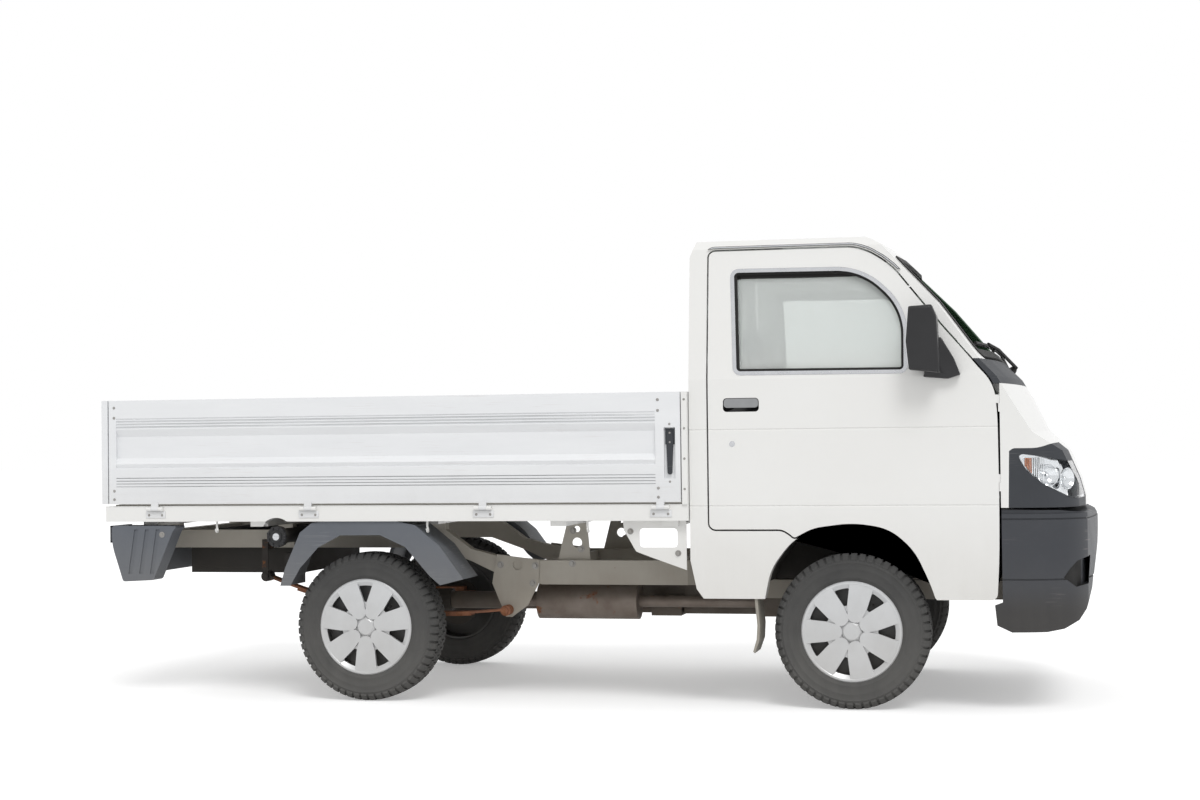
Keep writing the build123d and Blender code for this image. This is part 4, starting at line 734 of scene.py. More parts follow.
FINISHES: tuple[Finish | Clear, ...] = (
    Finish("paint_white", (0.80, 0.80, 0.785), (0.755, 0.75, 0.73), 0.30, coat=0.5, patch_scale=1.6,
           specular=0.4, film=0.26, film_bottom=0.36, film_top=0.80, film_colour=(0.46, 0.43, 0.38)),
    Finish("bed_aluminium", (0.79, 0.80, 0.81), (0.72, 0.73, 0.745), 0.42, metallic=0.10, patch_scale=2.4,
           run=(1.0, 1.0, 6.0), grain_scale=60.0, grain_run=(0.05, 0.05, 14.0), grain_depth=0.00008,
           grooves=True, film=0.18, film_bottom=0.70, film_top=0.95, film_colour=(0.45, 0.43, 0.40),
           scuff=0.25),
    Finish("chassis_paint", (0.50, 0.48, 0.435), (0.38, 0.355, 0.31), 0.60, patch_scale=5.0,
           grain_depth=0.0006, grain_scale=220.0, film=0.55, film_bottom=0.30, film_top=0.80,
           film_colour=(0.27, 0.235, 0.19), rust=0.16, rust_scale=9.0, specular=0.3),
    Finish("underbody_black", (0.022, 0.021, 0.020), (0.044, 0.040, 0.035), 0.68, patch_scale=6.0,
           grain_scale=240.0, grain_depth=0.0008, film=0.40, film_bottom=0.15, film_top=0.60,
           film_colour=(0.11, 0.095, 0.078), rust=0.12, rust_scale=10.0, specular=0.25),
    Finish("spring_rust", (0.30, 0.125, 0.065), (0.16, 0.080, 0.055), 0.80, metallic=0.10, patch_scale=16.0,
           contrast=2.2, grain_scale=260.0, grain_depth=0.0010, rust=0.40, rust_scale=14.0, specular=0.3,
           zone=Zone("X", -1.225, -1.265, (0.045, 0.040, 0.036))),
    Finish("dark_plastic", (0.031, 0.034, 0.040), (0.050, 0.054, 0.061), 0.55, patch_scale=4.0,
           grain_scale=900.0, grain_depth=0.0003, film=0.24, film_bottom=0.35, film_top=0.74,
           film_colour=(0.16, 0.15, 0.14), scuff=0.25, scuff_colour=(0.22, 0.22, 0.22), specular=0.3),
    Finish("mirror_black", (0.010, 0.010, 0.011), (0.018, 0.018, 0.020), 0.30, patch_scale=7.0,
           grain_scale=900.0, grain_depth=0.0001, specular=0.40),
    # bumper_grey turns darker towards the bottom: painted shade on the bumper's lower part.
    Finish("bumper_grey", (0.036, 0.039, 0.046), (0.058, 0.061, 0.069), 0.48, patch_scale=3.0,
           grain_scale=900.0, grain_depth=0.0003, film=0.16, film_bottom=0.28, film_top=0.60,
           film_colour=(0.16, 0.148, 0.135), scuff=0.9, scuff_colour=(0.36, 0.31, 0.30), specular=0.3,
           zone=Zone("Z", 0.46, 0.34, (0.026, 0.026, 0.027))),
    Finish("guard_grey", (0.100, 0.110, 0.128), (0.135, 0.146, 0.165), 0.55, patch_scale=4.0,
           grain_scale=900.0, grain_depth=0.0003, film=0.34, film_bottom=0.30, film_top=0.74,
           film_colour=(0.25, 0.235, 0.21), scuff=0.30, scuff_colour=(0.30, 0.30, 0.30), specular=0.3,
           zone=Zone("X", 0.50, 0.56, (0.34, 0.315, 0.27))),
    Finish("tyre", (0.044, 0.044, 0.044), (0.082, 0.081, 0.079), 0.85, patch_scale=9.0, contrast=1.8,
           grain_scale=420.0, grain_depth=0.0005, film=0.42, film_bottom=0.0, film_top=0.55,
           film_colour=(0.165, 0.160, 0.150), specular=0.25),
    Finish("rim_steel", (0.10, 0.103, 0.107), (0.065, 0.062, 0.058), 0.58, metallic=0.3, patch_scale=8.0,
           film=0.40, film_bottom=0.05, film_top=0.50, film_colour=(0.12, 0.11, 0.095), rust=0.12),
    Finish("cover_silver", (0.60, 0.61, 0.62), (0.50, 0.505, 0.51), 0.34, metallic=0.35, coat=0.15,
           patch_scale=9.0, film=0.30, film_bottom=0.10, film_top=0.50, film_colour=(0.36, 0.335, 0.30)),
    Clear("glass", (0.92, 0.95, 0.935), 0.0, 0.45, 1.20, 1.33, specular=0.4, transmission=0.66),
    # The windscreen's dark green band towards its front is a painted reflection of dark trees.
    Clear("screen_glass", (0.88, 0.94, 0.91), 0.0, 0.06, 1.22, 1.30, specular=0.0, ior=1.0,
          zone=Zone("X", 0.70, 0.90, (0.085, 0.125, 0.090))),
    Clear("lamp_lens", (0.96, 0.97, 0.98), 0.03, 0.15, 0.70, 0.95),
    Finish("lamp_red", (0.42, 0.018, 0.015), (0.34, 0.015, 0.012), 0.20, coat=0.6, patch_scale=12.0),
    Finish("seat_fabric", (0.060, 0.063, 0.070), (0.088, 0.091, 0.098), 0.92, patch_scale=14.0,
           grain_scale=1400.0, grain_depth=0.0006, specular=0.2),
    Finish("interior_grey", (0.13, 0.13, 0.135), (0.165, 0.165, 0.17), 0.62, patch_scale=5.0,
           grain_scale=900.0, grain_depth=0.0003, specular=0.3),
    Finish("engine_iron", (0.16, 0.150, 0.140), (0.095, 0.085, 0.075), 0.66, metallic=0.4, patch_scale=11.0,
           grain_scale=180.0, grain_depth=0.0012, film=0.55, film_bottom=0.20, film_top=0.60,
           film_colour=(0.17, 0.130, 0.095), rust=0.14, rust_scale=12.0),
    Finish("exhaust_steel", (0.27, 0.235, 0.205), (0.16, 0.122, 0.098), 0.60, metallic=0.5, patch_scale=9.0,
           grain_scale=200.0, grain_depth=0.0005, rust=0.30, rust_scale=11.0),
    # Finishes of the trim, which no CAD node carries.
    Finish("handle_silver", (0.30, 0.305, 0.315), (0.24, 0.245, 0.25), 0.38, metallic=0.2, patch_scale=20.0),
    Finish("seal_rubber", (0.010, 0.010, 0.010), (0.022, 0.021, 0.020), 0.60, patch_scale=20.0,
           specular=0.25),
    Finish("bright_trim", (0.62, 0.63, 0.65), (0.48, 0.49, 0.51), 0.25, metallic=0.85, patch_scale=20.0),
    Finish("zinc_bolts", (0.36, 0.355, 0.345), (0.24, 0.225, 0.205), 0.48, metallic=0.6, patch_scale=40.0,
           rust=0.12, rust_scale=60.0),
    Finish("reflector", (0.78, 0.79, 0.80), (0.66, 0.67, 0.68), 0.12, metallic=1.0, patch_scale=30.0),
    Finish("amber", (0.58, 0.24, 0.13), (0.46, 0.17, 0.09), 0.22, coat=0.5, patch_scale=30.0),
)


# ---------------------------------------------------------------------------------------------
# Stage
# ---------------------------------------------------------------------------------------------


@dataclass
class Stage:
    """The floor, the lamps, the surroundings and the camera."""

    floor_reach: float = 60.0
    floor_glow: float = 0.34
    sky: float = 0.74
    sun: float = 1.25
    fill: float = 0.22
    sensor: float = 36.0
    camera_place: Triple = (1.718, -7.851, 0.981)
    camera_yaw: float = 0.2223
    camera_pitch: float = 0.0193
    camera_roll: float = -0.0113
    lens: float = 59.92

    def build(self) -> None:
        """Makes everything round the truck."""
        self.settings()
        self.surroundings()
        self.floor()
        self.lamps()
        self.camera()

    def seen(self, graph: Graph) -> Socket:
        """1 for what the camera sees, straight or in glass and metal, and 0 for light on the truck.

        Args:
            graph: The graph that asks.

        Returns:
            The value.
        """
        path = graph.add("ShaderNodeLightPath").outputs
        direct = graph.maths("MAXIMUM", path["Is Camera Ray"], path["Is Transmission Ray"])
        return graph.maths("MAXIMUM", direct, path["Is Glossy Ray"])

    def settings(self) -> None:
        """Shows colours as they are written."""
        bpy.context.scene.view_settings.view_transform = "Standard"

    def surroundings(self) -> None:
        """A pale sky that looks white to the camera, and in glass and metal."""
        world = bpy.data.worlds.new("studio")
        bpy.context.scene.world = world
        world.use_nodes = True
        graph = Graph(world.node_tree)
        world.node_tree.nodes.clear()
        strength = graph.add("ShaderNodeMapRange", To_Min=self.sky, To_Max=1.0)
        graph.feed(strength.inputs["Value"], self.seen(graph))
        light = graph.add("ShaderNodeBackground", Color=(1.0, 1.0, 1.0), Strength=strength.outputs["Result"])
        out = graph.add("ShaderNodeOutputWorld")
        graph.feed(out.inputs["Surface"], light.outputs[0])

    def floor(self) -> None:
        """A pale floor that keeps the truck's shadow and is otherwise white to the camera."""
        mesh = bmesh.new()
        bmesh.ops.create_grid(mesh, x_segments=1, y_segments=1, size=self.floor_reach)
        data = bpy.data.meshes.new("floor")
        mesh.to_mesh(data)
        mesh.free()
        floor = bpy.data.objects.new("floor", data)
        bpy.context.scene.collection.objects.link(floor)
        material, graph, shader, place = open_material("floor")
        shader.inputs["Roughness"].default_value = 1.0
        shader.inputs["Specular IOR Level"].default_value = 0.0
        patches = graph.noise(place, 0.8, 3.0)
        graph.feed(shader.inputs["Base Color"], graph.mix(patches, (0.84, 0.84, 0.84), (0.82, 0.82, 0.82)))
        shader.inputs["Emission Color"].default_value = (1.0, 1.0, 1.0, 1.0)
        glow = graph.maths("MULTIPLY", self.seen(graph), self.floor_glow)
        graph.feed(shader.inputs["Emission Strength"], glow)
        data.materials.append(material)

    def lamps(self) -> None:
        """A broad soft sun over the camera's right shoulder and a weak fill from the other side."""
        for name, strength, size, aim in (
            ("sun", self.sun, 24.0, (-0.35, 0.75, -1.0)),
            ("fill", self.sun * self.fill, 60.0, (0.6, -0.8, -0.7)),
        ):
            light = bpy.data.lights.new(name, "SUN")
            light.energy = strength
            light.angle = math.radians(size)
            lamp = bpy.data.objects.new(name, light)
            lamp.rotation_mode = "QUATERNION"
            lamp.rotation_quaternion = (-Vector(aim)).to_track_quat("Z", "Y")
            bpy.context.scene.collection.objects.link(lamp)

    def camera(self) -> None:
        """A long lens at the truck's right side, a little towards its front."""
        yaw, pitch, roll = self.camera_yaw, self.camera_pitch, self.camera_roll
        ahead = Vector((-math.sin(yaw) * math.cos(pitch), math.cos(yaw) * math.cos(pitch), math.sin(pitch)))
        level = Vector((math.cos(yaw), math.sin(yaw), 0.0))
        upright = level.cross(ahead)
        right = math.cos(roll) * level + math.sin(roll) * upright
        upward = right.cross(ahead)
        data = bpy.data.cameras.new("camera")
        data.lens = self.lens
        data.sensor_width = self.sensor
        camera = bpy.data.objects.new("camera", data)
        axes = Matrix((right, upward, -ahead)).transposed()
        camera.matrix_world = Matrix.Translation(self.camera_place) @ axes.to_4x4()
        bpy.context.scene.collection.objects.link(camera)
        bpy.context.scene.camera = camera


# ---------------------------------------------------------------------------------------------
# Wheels
# ---------------------------------------------------------------------------------------------


@dataclass
class Tyre:
    """One road tyre with its tread, round the rim that the frame gives."""

    axle: str
    side: Side
    groove: float = 0.007
    bead_gap: float = 0.0003
    pitches: int = 56
    steps: int = 112
    # Outline points: how far out from the bead or the grooves' floor, and how far in from the side.
    wall: tuple[Pair, ...] = (
        (0.0, 0.0200), (0.004, 0.0125), (0.012, 0.0075), (0.024, 0.0060), (0.028, 0.0030), (0.031, 0.0030),
        (0.034, 0.0042), (0.056, 0.0008), (0.059, 0.0), (0.062, 0.0008), (0.078, 0.0035), (0.081, 0.0022),
        (0.084, 0.0040),
    )
    shoulder: tuple[Pair, ...] = ((-0.014, 0.0110), (-0.001, 0.0270), (0.0, 0.0420))

    @property
    def where(self) -> str:
        """The wheel's name."""
        return f"{self.axle}_{self.side}"

    def build(self) -> None:
        """Makes the casing and the tread blocks as one piece in place of the plain tyre."""
        low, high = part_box(f"tyre_{self.where}")
        centre = (low + high) / 2
        radius = (high.x - low.x) / 2
        half = (high.y - low.y) / 2
        rim_low, rim_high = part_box(f"rim_{self.where}")
        bead = (rim_high.x - rim_low.x) / 2 + self.bead_gap
        mesh = bmesh.new()
        self.casing(mesh, radius, half, bead)
        self.tread(mesh, radius, half)
        bmesh.ops.scale(mesh, verts=mesh.verts, vec=(1.0, self.side.value, 1.0))
        bmesh.ops.translate(mesh, verts=mesh.verts, vec=centre)
        piece = publish(mesh, f"road_tyre_{self.where}", f"wheel_{self.where}", "tyre", crease=40.0)
        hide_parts(f"tyre_{self.where}")

    def casing(self, mesh: Mesh, radius: float, half: float, bead: float) -> None:
        """Spins the ribbed side walls and the band under the tread.

        Args:
            mesh: The tyre's bmesh.
            radius: The tyre's outer radius.
            half: Half the tyre's width.
            bead: The radius where it meets the rim.
        """
        floor = radius - self.groove
        side = [(bead + rise, half - inset) for rise, inset in self.wall]
        side += [(floor + rise, half - inset) for rise, inset in self.shoulder]
        outline = side + [(r, -y) for r, y in reversed(side)]
        verts = [mesh.verts.new((r, y, 0.0)) for r, y in outline]
        edges = [mesh.edges.new(pair) for pair in zip(verts, verts[1:] + verts[:1])]
        bmesh.ops.spin(
            mesh, geom=verts + edges, cent=(0, 0, 0), axis=(0, 1, 0), steps=self.steps,
            angle=math.tau, use_merge=True,
        )

    def tread(self, mesh: Mesh, radius: float, half: float) -> None:
        """Adds staggered rows of tread blocks, with the shoulder lugs wrapped over the edge.

        Args:
            mesh: The tyre's bmesh.
            radius: The tyre's outer radius.
            half: Half the tyre's width.
        """
        floor = radius - self.groove
        pitch = math.tau / self.pitches
        lug = [
            (floor - 0.024, half - 0.0070), (floor - 0.013, half - 0.0060), (floor + 0.002, half - 0.0200),
            (radius - 0.0012, half - 0.0300), (radius - 0.0006, half - 0.0440),
            (floor - 0.001, half - 0.0440), (floor - 0.002, half - 0.0270), (floor - 0.015, half - 0.0120),
        ]
        rib = [
            (floor - 0.001, half - 0.0490), (radius - 0.0003, half - 0.0485), (radius, 0.0100),
            (floor - 0.001, 0.0105),
        ]
        middle = [(floor - 0.001, 0.0060), (radius, 0.0055), (radius, -0.0055), (floor - 0.001, -0.0060)]
        rows = (
            (lug, 0.0, 0.70),
            (rib, 0.35, 0.80),
            (middle, 0.10, 0.90),
            ([(r, -y) for r, y in rib], 0.85, 0.80),
            ([(r, -y) for r, y in lug], 0.5, 0.70),
        )
        for outline, offset, share in rows:
            turn = Matrix.Rotation(offset * pitch, 3, "Y")
            verts = [mesh.verts.new(turn @ Vector((r, y, 0.0))) for r, y in outline]
            face = mesh.faces.new(verts)
            start = set(mesh.verts) - set(verts)
            bmesh.ops.spin(
                mesh, geom=[face], cent=(0, 0, 0), axis=(0, 1, 0), steps=2, angle=share * pitch
            )
            grown = [vert for vert in mesh.verts if vert not in start]
            shape = list({face for vert in grown for face in vert.link_faces})
            bmesh.ops.spin(
                mesh, geom=grown + shape, cent=(0, 0, 0), axis=(0, 1, 0), steps=self.pitches - 1,
                angle=math.tau - pitch, use_duplicate=True,
            )


# ---------------------------------------------------------------------------------------------
# Shapes taken from the truck's own surfaces
# ---------------------------------------------------------------------------------------------


def axle_x(axle: str) -> float:
    """How far forward an axle stands."""
    low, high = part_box(f"tyre_{axle}_left")
    return (low.x + high.x) / 2


def patch(node: str, chosen: Picker, flatten: float = 4.0) -> Mesh:
    """The chosen faces of a CAD node, welded, with nearly flat neighbours joined.

    Args:
        node: The CAD node.
        chosen: Says whether a face belongs to the patch.
        flatten: Faces that meet at less than this many degrees become one.

    Returns:
        A bmesh that holds only those faces.
    """
    mesh = welded(node)
    keep_faces(mesh, [face for face in mesh.faces if chosen(face)])
    flattened(mesh, flatten)
    return mesh


def flattened(mesh: Mesh, degrees: float) -> None:
    """Joins the faces that meet at less than some degrees."""
    bmesh.ops.dissolve_limit(
        mesh, angle_limit=math.radians(degrees), verts=mesh.verts, edges=mesh.edges,
        use_dissolve_boundaries=False,
    )


def rim_band(mesh: Mesh, width: float, keep_middle: bool = False) -> Mesh:
    """Turns a patch into the band along its edge, or into what lies within the band.

    Args:
        mesh: The patch.
        width: The band's width.
        keep_middle: Keeps the middle and drops the band.

    Returns:
        The same bmesh.
    """
    middle = list(mesh.faces)
    band = bmesh.ops.inset_region(
        mesh, faces=middle, thickness=width, use_boundary=True, use_even_offset=True
    )["faces"]
    keep_faces(mesh, middle if keep_middle else band)
    return mesh


def thicken(mesh: Mesh, offset: Sequence[float], depth: Sequence[float]) -> Mesh:
    """Moves a patch and gives it thickness.

    Args:
        mesh: The patch.
        offset: How far it moves first.
        depth: How far its other side lies from it.

    Returns:
        The same bmesh.
    """
    bmesh.ops.translate(mesh, verts=mesh.verts, vec=Vector(offset))
    extrude(mesh, list(mesh.faces), depth)
    return mesh


def lining(node: str, inside: Picker, lift: float) -> Mesh:
    """A thin liner over the chosen faces of a CAD node.

    Args:
        node: The CAD node.
        inside: Says whether a face is lined.
        lift: How far the liner stands off the faces.

    Returns:
        The liner.
    """
    mesh = welded(node)
    keep_faces(mesh, [face for face in mesh.faces if inside(face)])
    for vert in mesh.verts:
        vert.co += vert.normal * lift
    return mesh


@dataclass
class Sided:
    """Something that the truck has once on each side."""

    side: Side
    front: float = field(init=False)
    flank: float = field(init=False)

    def __post_init__(self) -> None:
        """Reads where the front axle and the cab's side are."""
        self.front = axle_x("front")
        self.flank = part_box("cab_sides")[1].y

    @property
    def sign(self) -> float:
        """1 on the left and -1 on the right."""
        return self.side.value

    def out(self, distance: float = 1.0) -> Vector:
        """A move away from the truck's middle."""
        return Vector((0.0, self.sign * distance, 0.0))

    def name(self, stem: str) -> str:
        """The name of this side's copy of a piece."""
        return f"{stem}_{self.side}"


# ---------------------------------------------------------------------------------------------
# Cab
# ---------------------------------------------------------------------------------------------


@dataclass(frozen=True)
class Layer:
    """A thin strip that lies on a surface."""

    stem: str
    finish: str
    width: float
    proud: float
    depth: float


@dataclass
class DoorWindow(Sided):
    """The rubber, the bright lip and the dark upper band of a door's window, and its drip rail with painted
    shade along the rail's edges.
    """

    seal: Layer = Layer("window_seal", "seal_rubber", 0.023, 0.014, 0.013)
    lip: Layer = Layer("window_lip", "bright_trim", 0.0140, 0.0232, 0.008)
    shade: Layer = Layer("window_shade", "seal_rubber", 0.036, 0.0030, 0.0025)
    # The rail's dark edges are painted shade: dark strips along the drip rail's upper and lower edges, in the
    # rubber's finish.
    rail_edges: Layer = Layer("rail_edges", "seal_rubber", 0.0022, 0.0006, 0.0012)
    rail_strip: Layer = Layer("rail_strip", "bright_trim", 0.0022, 0.0009, 0.0015)
    waist_z: float = 1.190
    gutter_z: float = 1.668
    lean: float = 0.062
    eaves_slope: float = 0.875

    def build(self) -> None:
        """Makes all of it."""
        glass = self.name("door_glass")
        for layer in (self.seal, self.lip, self.shade):
            mesh = rim_band(patch(glass, lambda face: face.normal.y * self.sign > 0.8), layer.width)
            if layer is self.shade:
                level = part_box(glass)[1].z - layer.width - 0.002
                bmesh.ops.bisect_plane(
                    mesh, geom=mesh.verts[:] + mesh.edges[:] + mesh.faces[:], plane_co=(0, 0, level),
                    plane_no=(0, 0, 1), clear_inner=True,
                )
            self.lay(mesh, layer, self.name("door"))
        # The band along the rail's edges is painted shade; its middle is the bright strip.
        for layer in (self.rail_edges, self.rail_strip):
            rail = patch("cab_roof", self.on_rail)
            mesh = rim_band(rail, layer.width, keep_middle=layer is self.rail_strip)
            self.lay(mesh, layer, "chassis")

    def lay(self, mesh: Mesh, layer: Layer, body: str) -> None:
        """Gives a strip its thickness and publishes it."""
        mesh = thicken(mesh, self.out(layer.proud), self.out(-layer.depth))
        publish(mesh, self.name(layer.stem), body, layer.finish)

    def on_rail(self, face: Face) -> bool:
        """Whether a face of the roof is the drip rail's outer face.

        Args:
            face: The face.

        Returns:
            Whether it is.
        """
        middle = face.calc_center_median()
        share = (min(middle.z, self.gutter_z) - self.waist_z) / (self.gutter_z - self.waist_z)
        skin = self.flank - self.lean * share - max(0.0, middle.z - self.gutter_z) * self.eaves_slope
        outer = Vector((0.0, self.sign, 0.3)).normalized()
        high = middle.z > self.waist_z + 0.3
        return high and middle.y * self.sign > skin + 0.004 and face.normal.dot(outer) > 0.55


@dataclass
class PaneSeals:
    """The rubber round the windscreen and the rear window."""

    screen_width: float = 0.034
    rear_width: float = 0.016
    wall: float = 0.030

    def build(self) -> None:
        """Makes both seals."""
        front = axle_x("front")
        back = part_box("cab_rear_wall")[0].x + self.wall
        screen = patch("cab_glass", lambda face: face.normal.x > 0.3 and face.calc_center_median().x > front)
        rear = patch("cab_glass", lambda face: face.normal.x < -0.9 and face.calc_center_median().x < back)
        mesh = thicken(rim_band(screen, self.screen_width), (0.0094, 0.0, 0.0094), (-0.0110, 0.0, -0.0110))
        publish(mesh, "screen_seal", "chassis", "seal_rubber")
        mesh = thicken(rim_band(rear, self.rear_width), (-0.0105, 0.0, 0.0), (0.010, 0.0, 0.0))
        publish(mesh, "rear_window_seal", "chassis", "seal_rubber")


@dataclass
class Wipers:
    """Two wipers parked along the bottom of the screen."""

    pivots: Pair = (0.46, -0.06)
    blade: float = 0.50
    pivot_z: float = 1.222
    park_z: float = 1.300
    stations: int = 9
    bar_lift: float = 0.0155
    rubber_lift: float = 0.0060
    arm_lift: float = 0.018

    def build(self) -> None:
        """Makes both wipers as one piece."""
        screen, cowl = Surface("cab_glass"), Surface("cowl")
        mesh = bmesh.new()
        for pivot_y in self.pivots:
            seat, up = cowl.hit((3.0, pivot_y, self.pivot_z), (-1, 0, 0))
            add_disc(mesh, seat - up * 0.004, up, 0.017, 0.016, 0.012)
            add_disc(mesh, seat + up * 0.012, up, 0.010, 0.012, 0.007, segments=16)
            bar, rubber = [], []
            for index in range(self.stations):
                reach = 0.02 + self.blade * index / (self.stations - 1)
                point, normal = screen.hit((3.0, pivot_y - reach, self.park_z), (-1, 0, 0))
                bar.append(point + normal * self.bar_lift)
                rubber.append(point + normal * self.rubber_lift)
            add_tube(mesh, bar, 0.0055, sides=8)
            add_tube(mesh, rubber, 0.0028, sides=6)
            lifted = up * self.arm_lift
            middle = bar[self.stations // 2]
            arm = [seat + lifted, seat.lerp(middle, 0.28) + lifted, seat.lerp(middle, 0.7) + lifted,
                   middle + up * 0.006]
            add_tube(mesh, arm, 0.0065, sides=8)
            for index in range(1, self.stations, 2):
                add_disc(mesh, rubber[index], bar[index] - rubber[index], 0.0045, 0.0115, segments=8)
        publish(mesh, "wipers", "chassis", "seal_rubber", crease=50.0)


@dataclass
class DoorTrim(Sided):
    """The lock, the handle's cup, the mirror, the inner card and its fittings on one door."""

    lock: Pair = (-0.420, 0.956)
    lock_r: float = 0.0095
    recess: Window = (-0.452, -0.321, 1.072, 1.122)
    housing_round: float = 0.0075
    housing_edge: float = math.radians(20.0)
    mirror_foot_z: float = 1.205
    mirror_frame: float = 0.008
    card_margin: float = 0.045
    waist_z: float = 1.1915
    fittings: tuple[Window, ...] = ((0.330, 0.420, 1.050, 1.085), (-0.150, 0.230, 0.945, 0.975))

    def build(self) -> None:
        """Makes all of it."""
        self.door_lock()
        cup = lining(self.name("door"), self.in_recess, LINER_LIFT)
        self.part("handle_cup", cup, "mirror_black", outwards=False)
        self.mirror()
        self.card()
        self.furniture()

    def part(self, stem: str, mesh: Mesh, finish: str, **looks: object) -> bpy.types.Object:
        """Publishes a piece that rides on the door.

        Args:
            stem: The piece's name without its side.
            mesh: Its shape.
            finish: Its finish.
            **looks: What else publish() takes.

        Returns:
            The piece.
        """
        return publish(mesh, self.name(stem), self.name("door"), finish, **looks)

    def door_lock(self) -> None:
        """Makes the lock's bright rim, its barrel and its keyway."""
        along, height = self.lock
        centre = Vector((self.front + along, self.sign * (self.flank - 0.001), height))
        axis, radius = self.out(), self.lock_r
        mesh = bmesh.new()
        add_disc(mesh, centre, axis, radius + 0.0015, 0.0022, radius + 0.0008, segments=28)
        add_disc(mesh, centre + axis * 0.0022, axis, radius * 0.8, 0.0012, radius * 0.76, segments=24)
        keyway = Vector((0.0010, 0.0, 0.0045))
        add_block(mesh, centre - keyway, centre + keyway + self.out(0.0040))
        self.part("door_lock", mesh, "bright_trim", crease=40.0)

    def in_recess(self, face: Face) -> bool:
        """Whether a face of the door lies inside the handle's recess.

        Args:
            face: The face.

        Returns:
            Whether it does.
        """
        middle = face.calc_center_median()
        behind = self.flank - middle.y * self.sign
        return within(self.recess, middle, self.front, 0.001) and 0.002 < behind < 0.0145

    def mirror(self) -> None:
        """Makes the housing with rounded edges, in place of the plain one, and the mirror glass."""
        node = self.name("mirror")
        mesh = welded(node)
        flattened(mesh, 3.0)
        sharp = [
            edge for edge in mesh.edges if edge.is_convex and edge.calc_face_angle(0.0) > self.housing_edge
        ]
        bmesh.ops.bevel(
            mesh, geom=sharp, offset=self.housing_round, affect="EDGES", segments=3, profile=0.5,
            clamp_overlap=True, material=-1,
        )
        bmesh.ops.remove_doubles(mesh, verts=mesh.verts, dist=WELD)
        housing = self.part("mirror_housing", mesh, "mirror_black", crease=50.0)
        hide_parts(node)

        def on_back(face: Face) -> bool:
            """Whether a face is the back of the housing, above its foot."""
            return face.normal.x < -0.8 and face.calc_center_median().z > self.mirror_foot_z

        glass = rim_band(patch(node, on_back), self.mirror_frame, keep_middle=True)
        self.part("mirror_glass", thicken(glass, (-0.0018, 0.0, 0.0), (0.0016, 0.0, 0.0)), "reflector")

    def card(self) -> None:
        """Makes the card on the door's inner side, below the window."""

        def inner(face: Face) -> bool:
            """Whether a face is part of the door's inner side below the window."""
            deep = face.calc_center_median().y * self.sign < self.flank - 0.050
            below = max(vert.co.z for vert in face.verts) < self.waist_z
            return face.normal.y * self.sign < -0.95 and deep and below

        card = rim_band(patch(self.name("door"), inner), self.card_margin, keep_middle=True)
        self.part("door_card", thicken(card, self.out(-0.0030), self.out(0.0028)), "interior_grey")

    def furniture(self) -> None:
        """Makes the release lever's cup and the armrest's cap, both nearly flush."""
        mesh = bmesh.new()
        inner = self.flank - 0.055
        depth = sorted((self.sign * (inner - 0.0042), self.sign * (inner + 0.004)))
        for low_x, high_x, low_z, high_z in self.fittings:
            low, high = (self.front + low_x, depth[0], low_z), (self.front + high_x, depth[1], high_z)
            add_block(mesh, low, high, 0.0015)
        self.part("door_furniture", mesh, "dark_plastic")


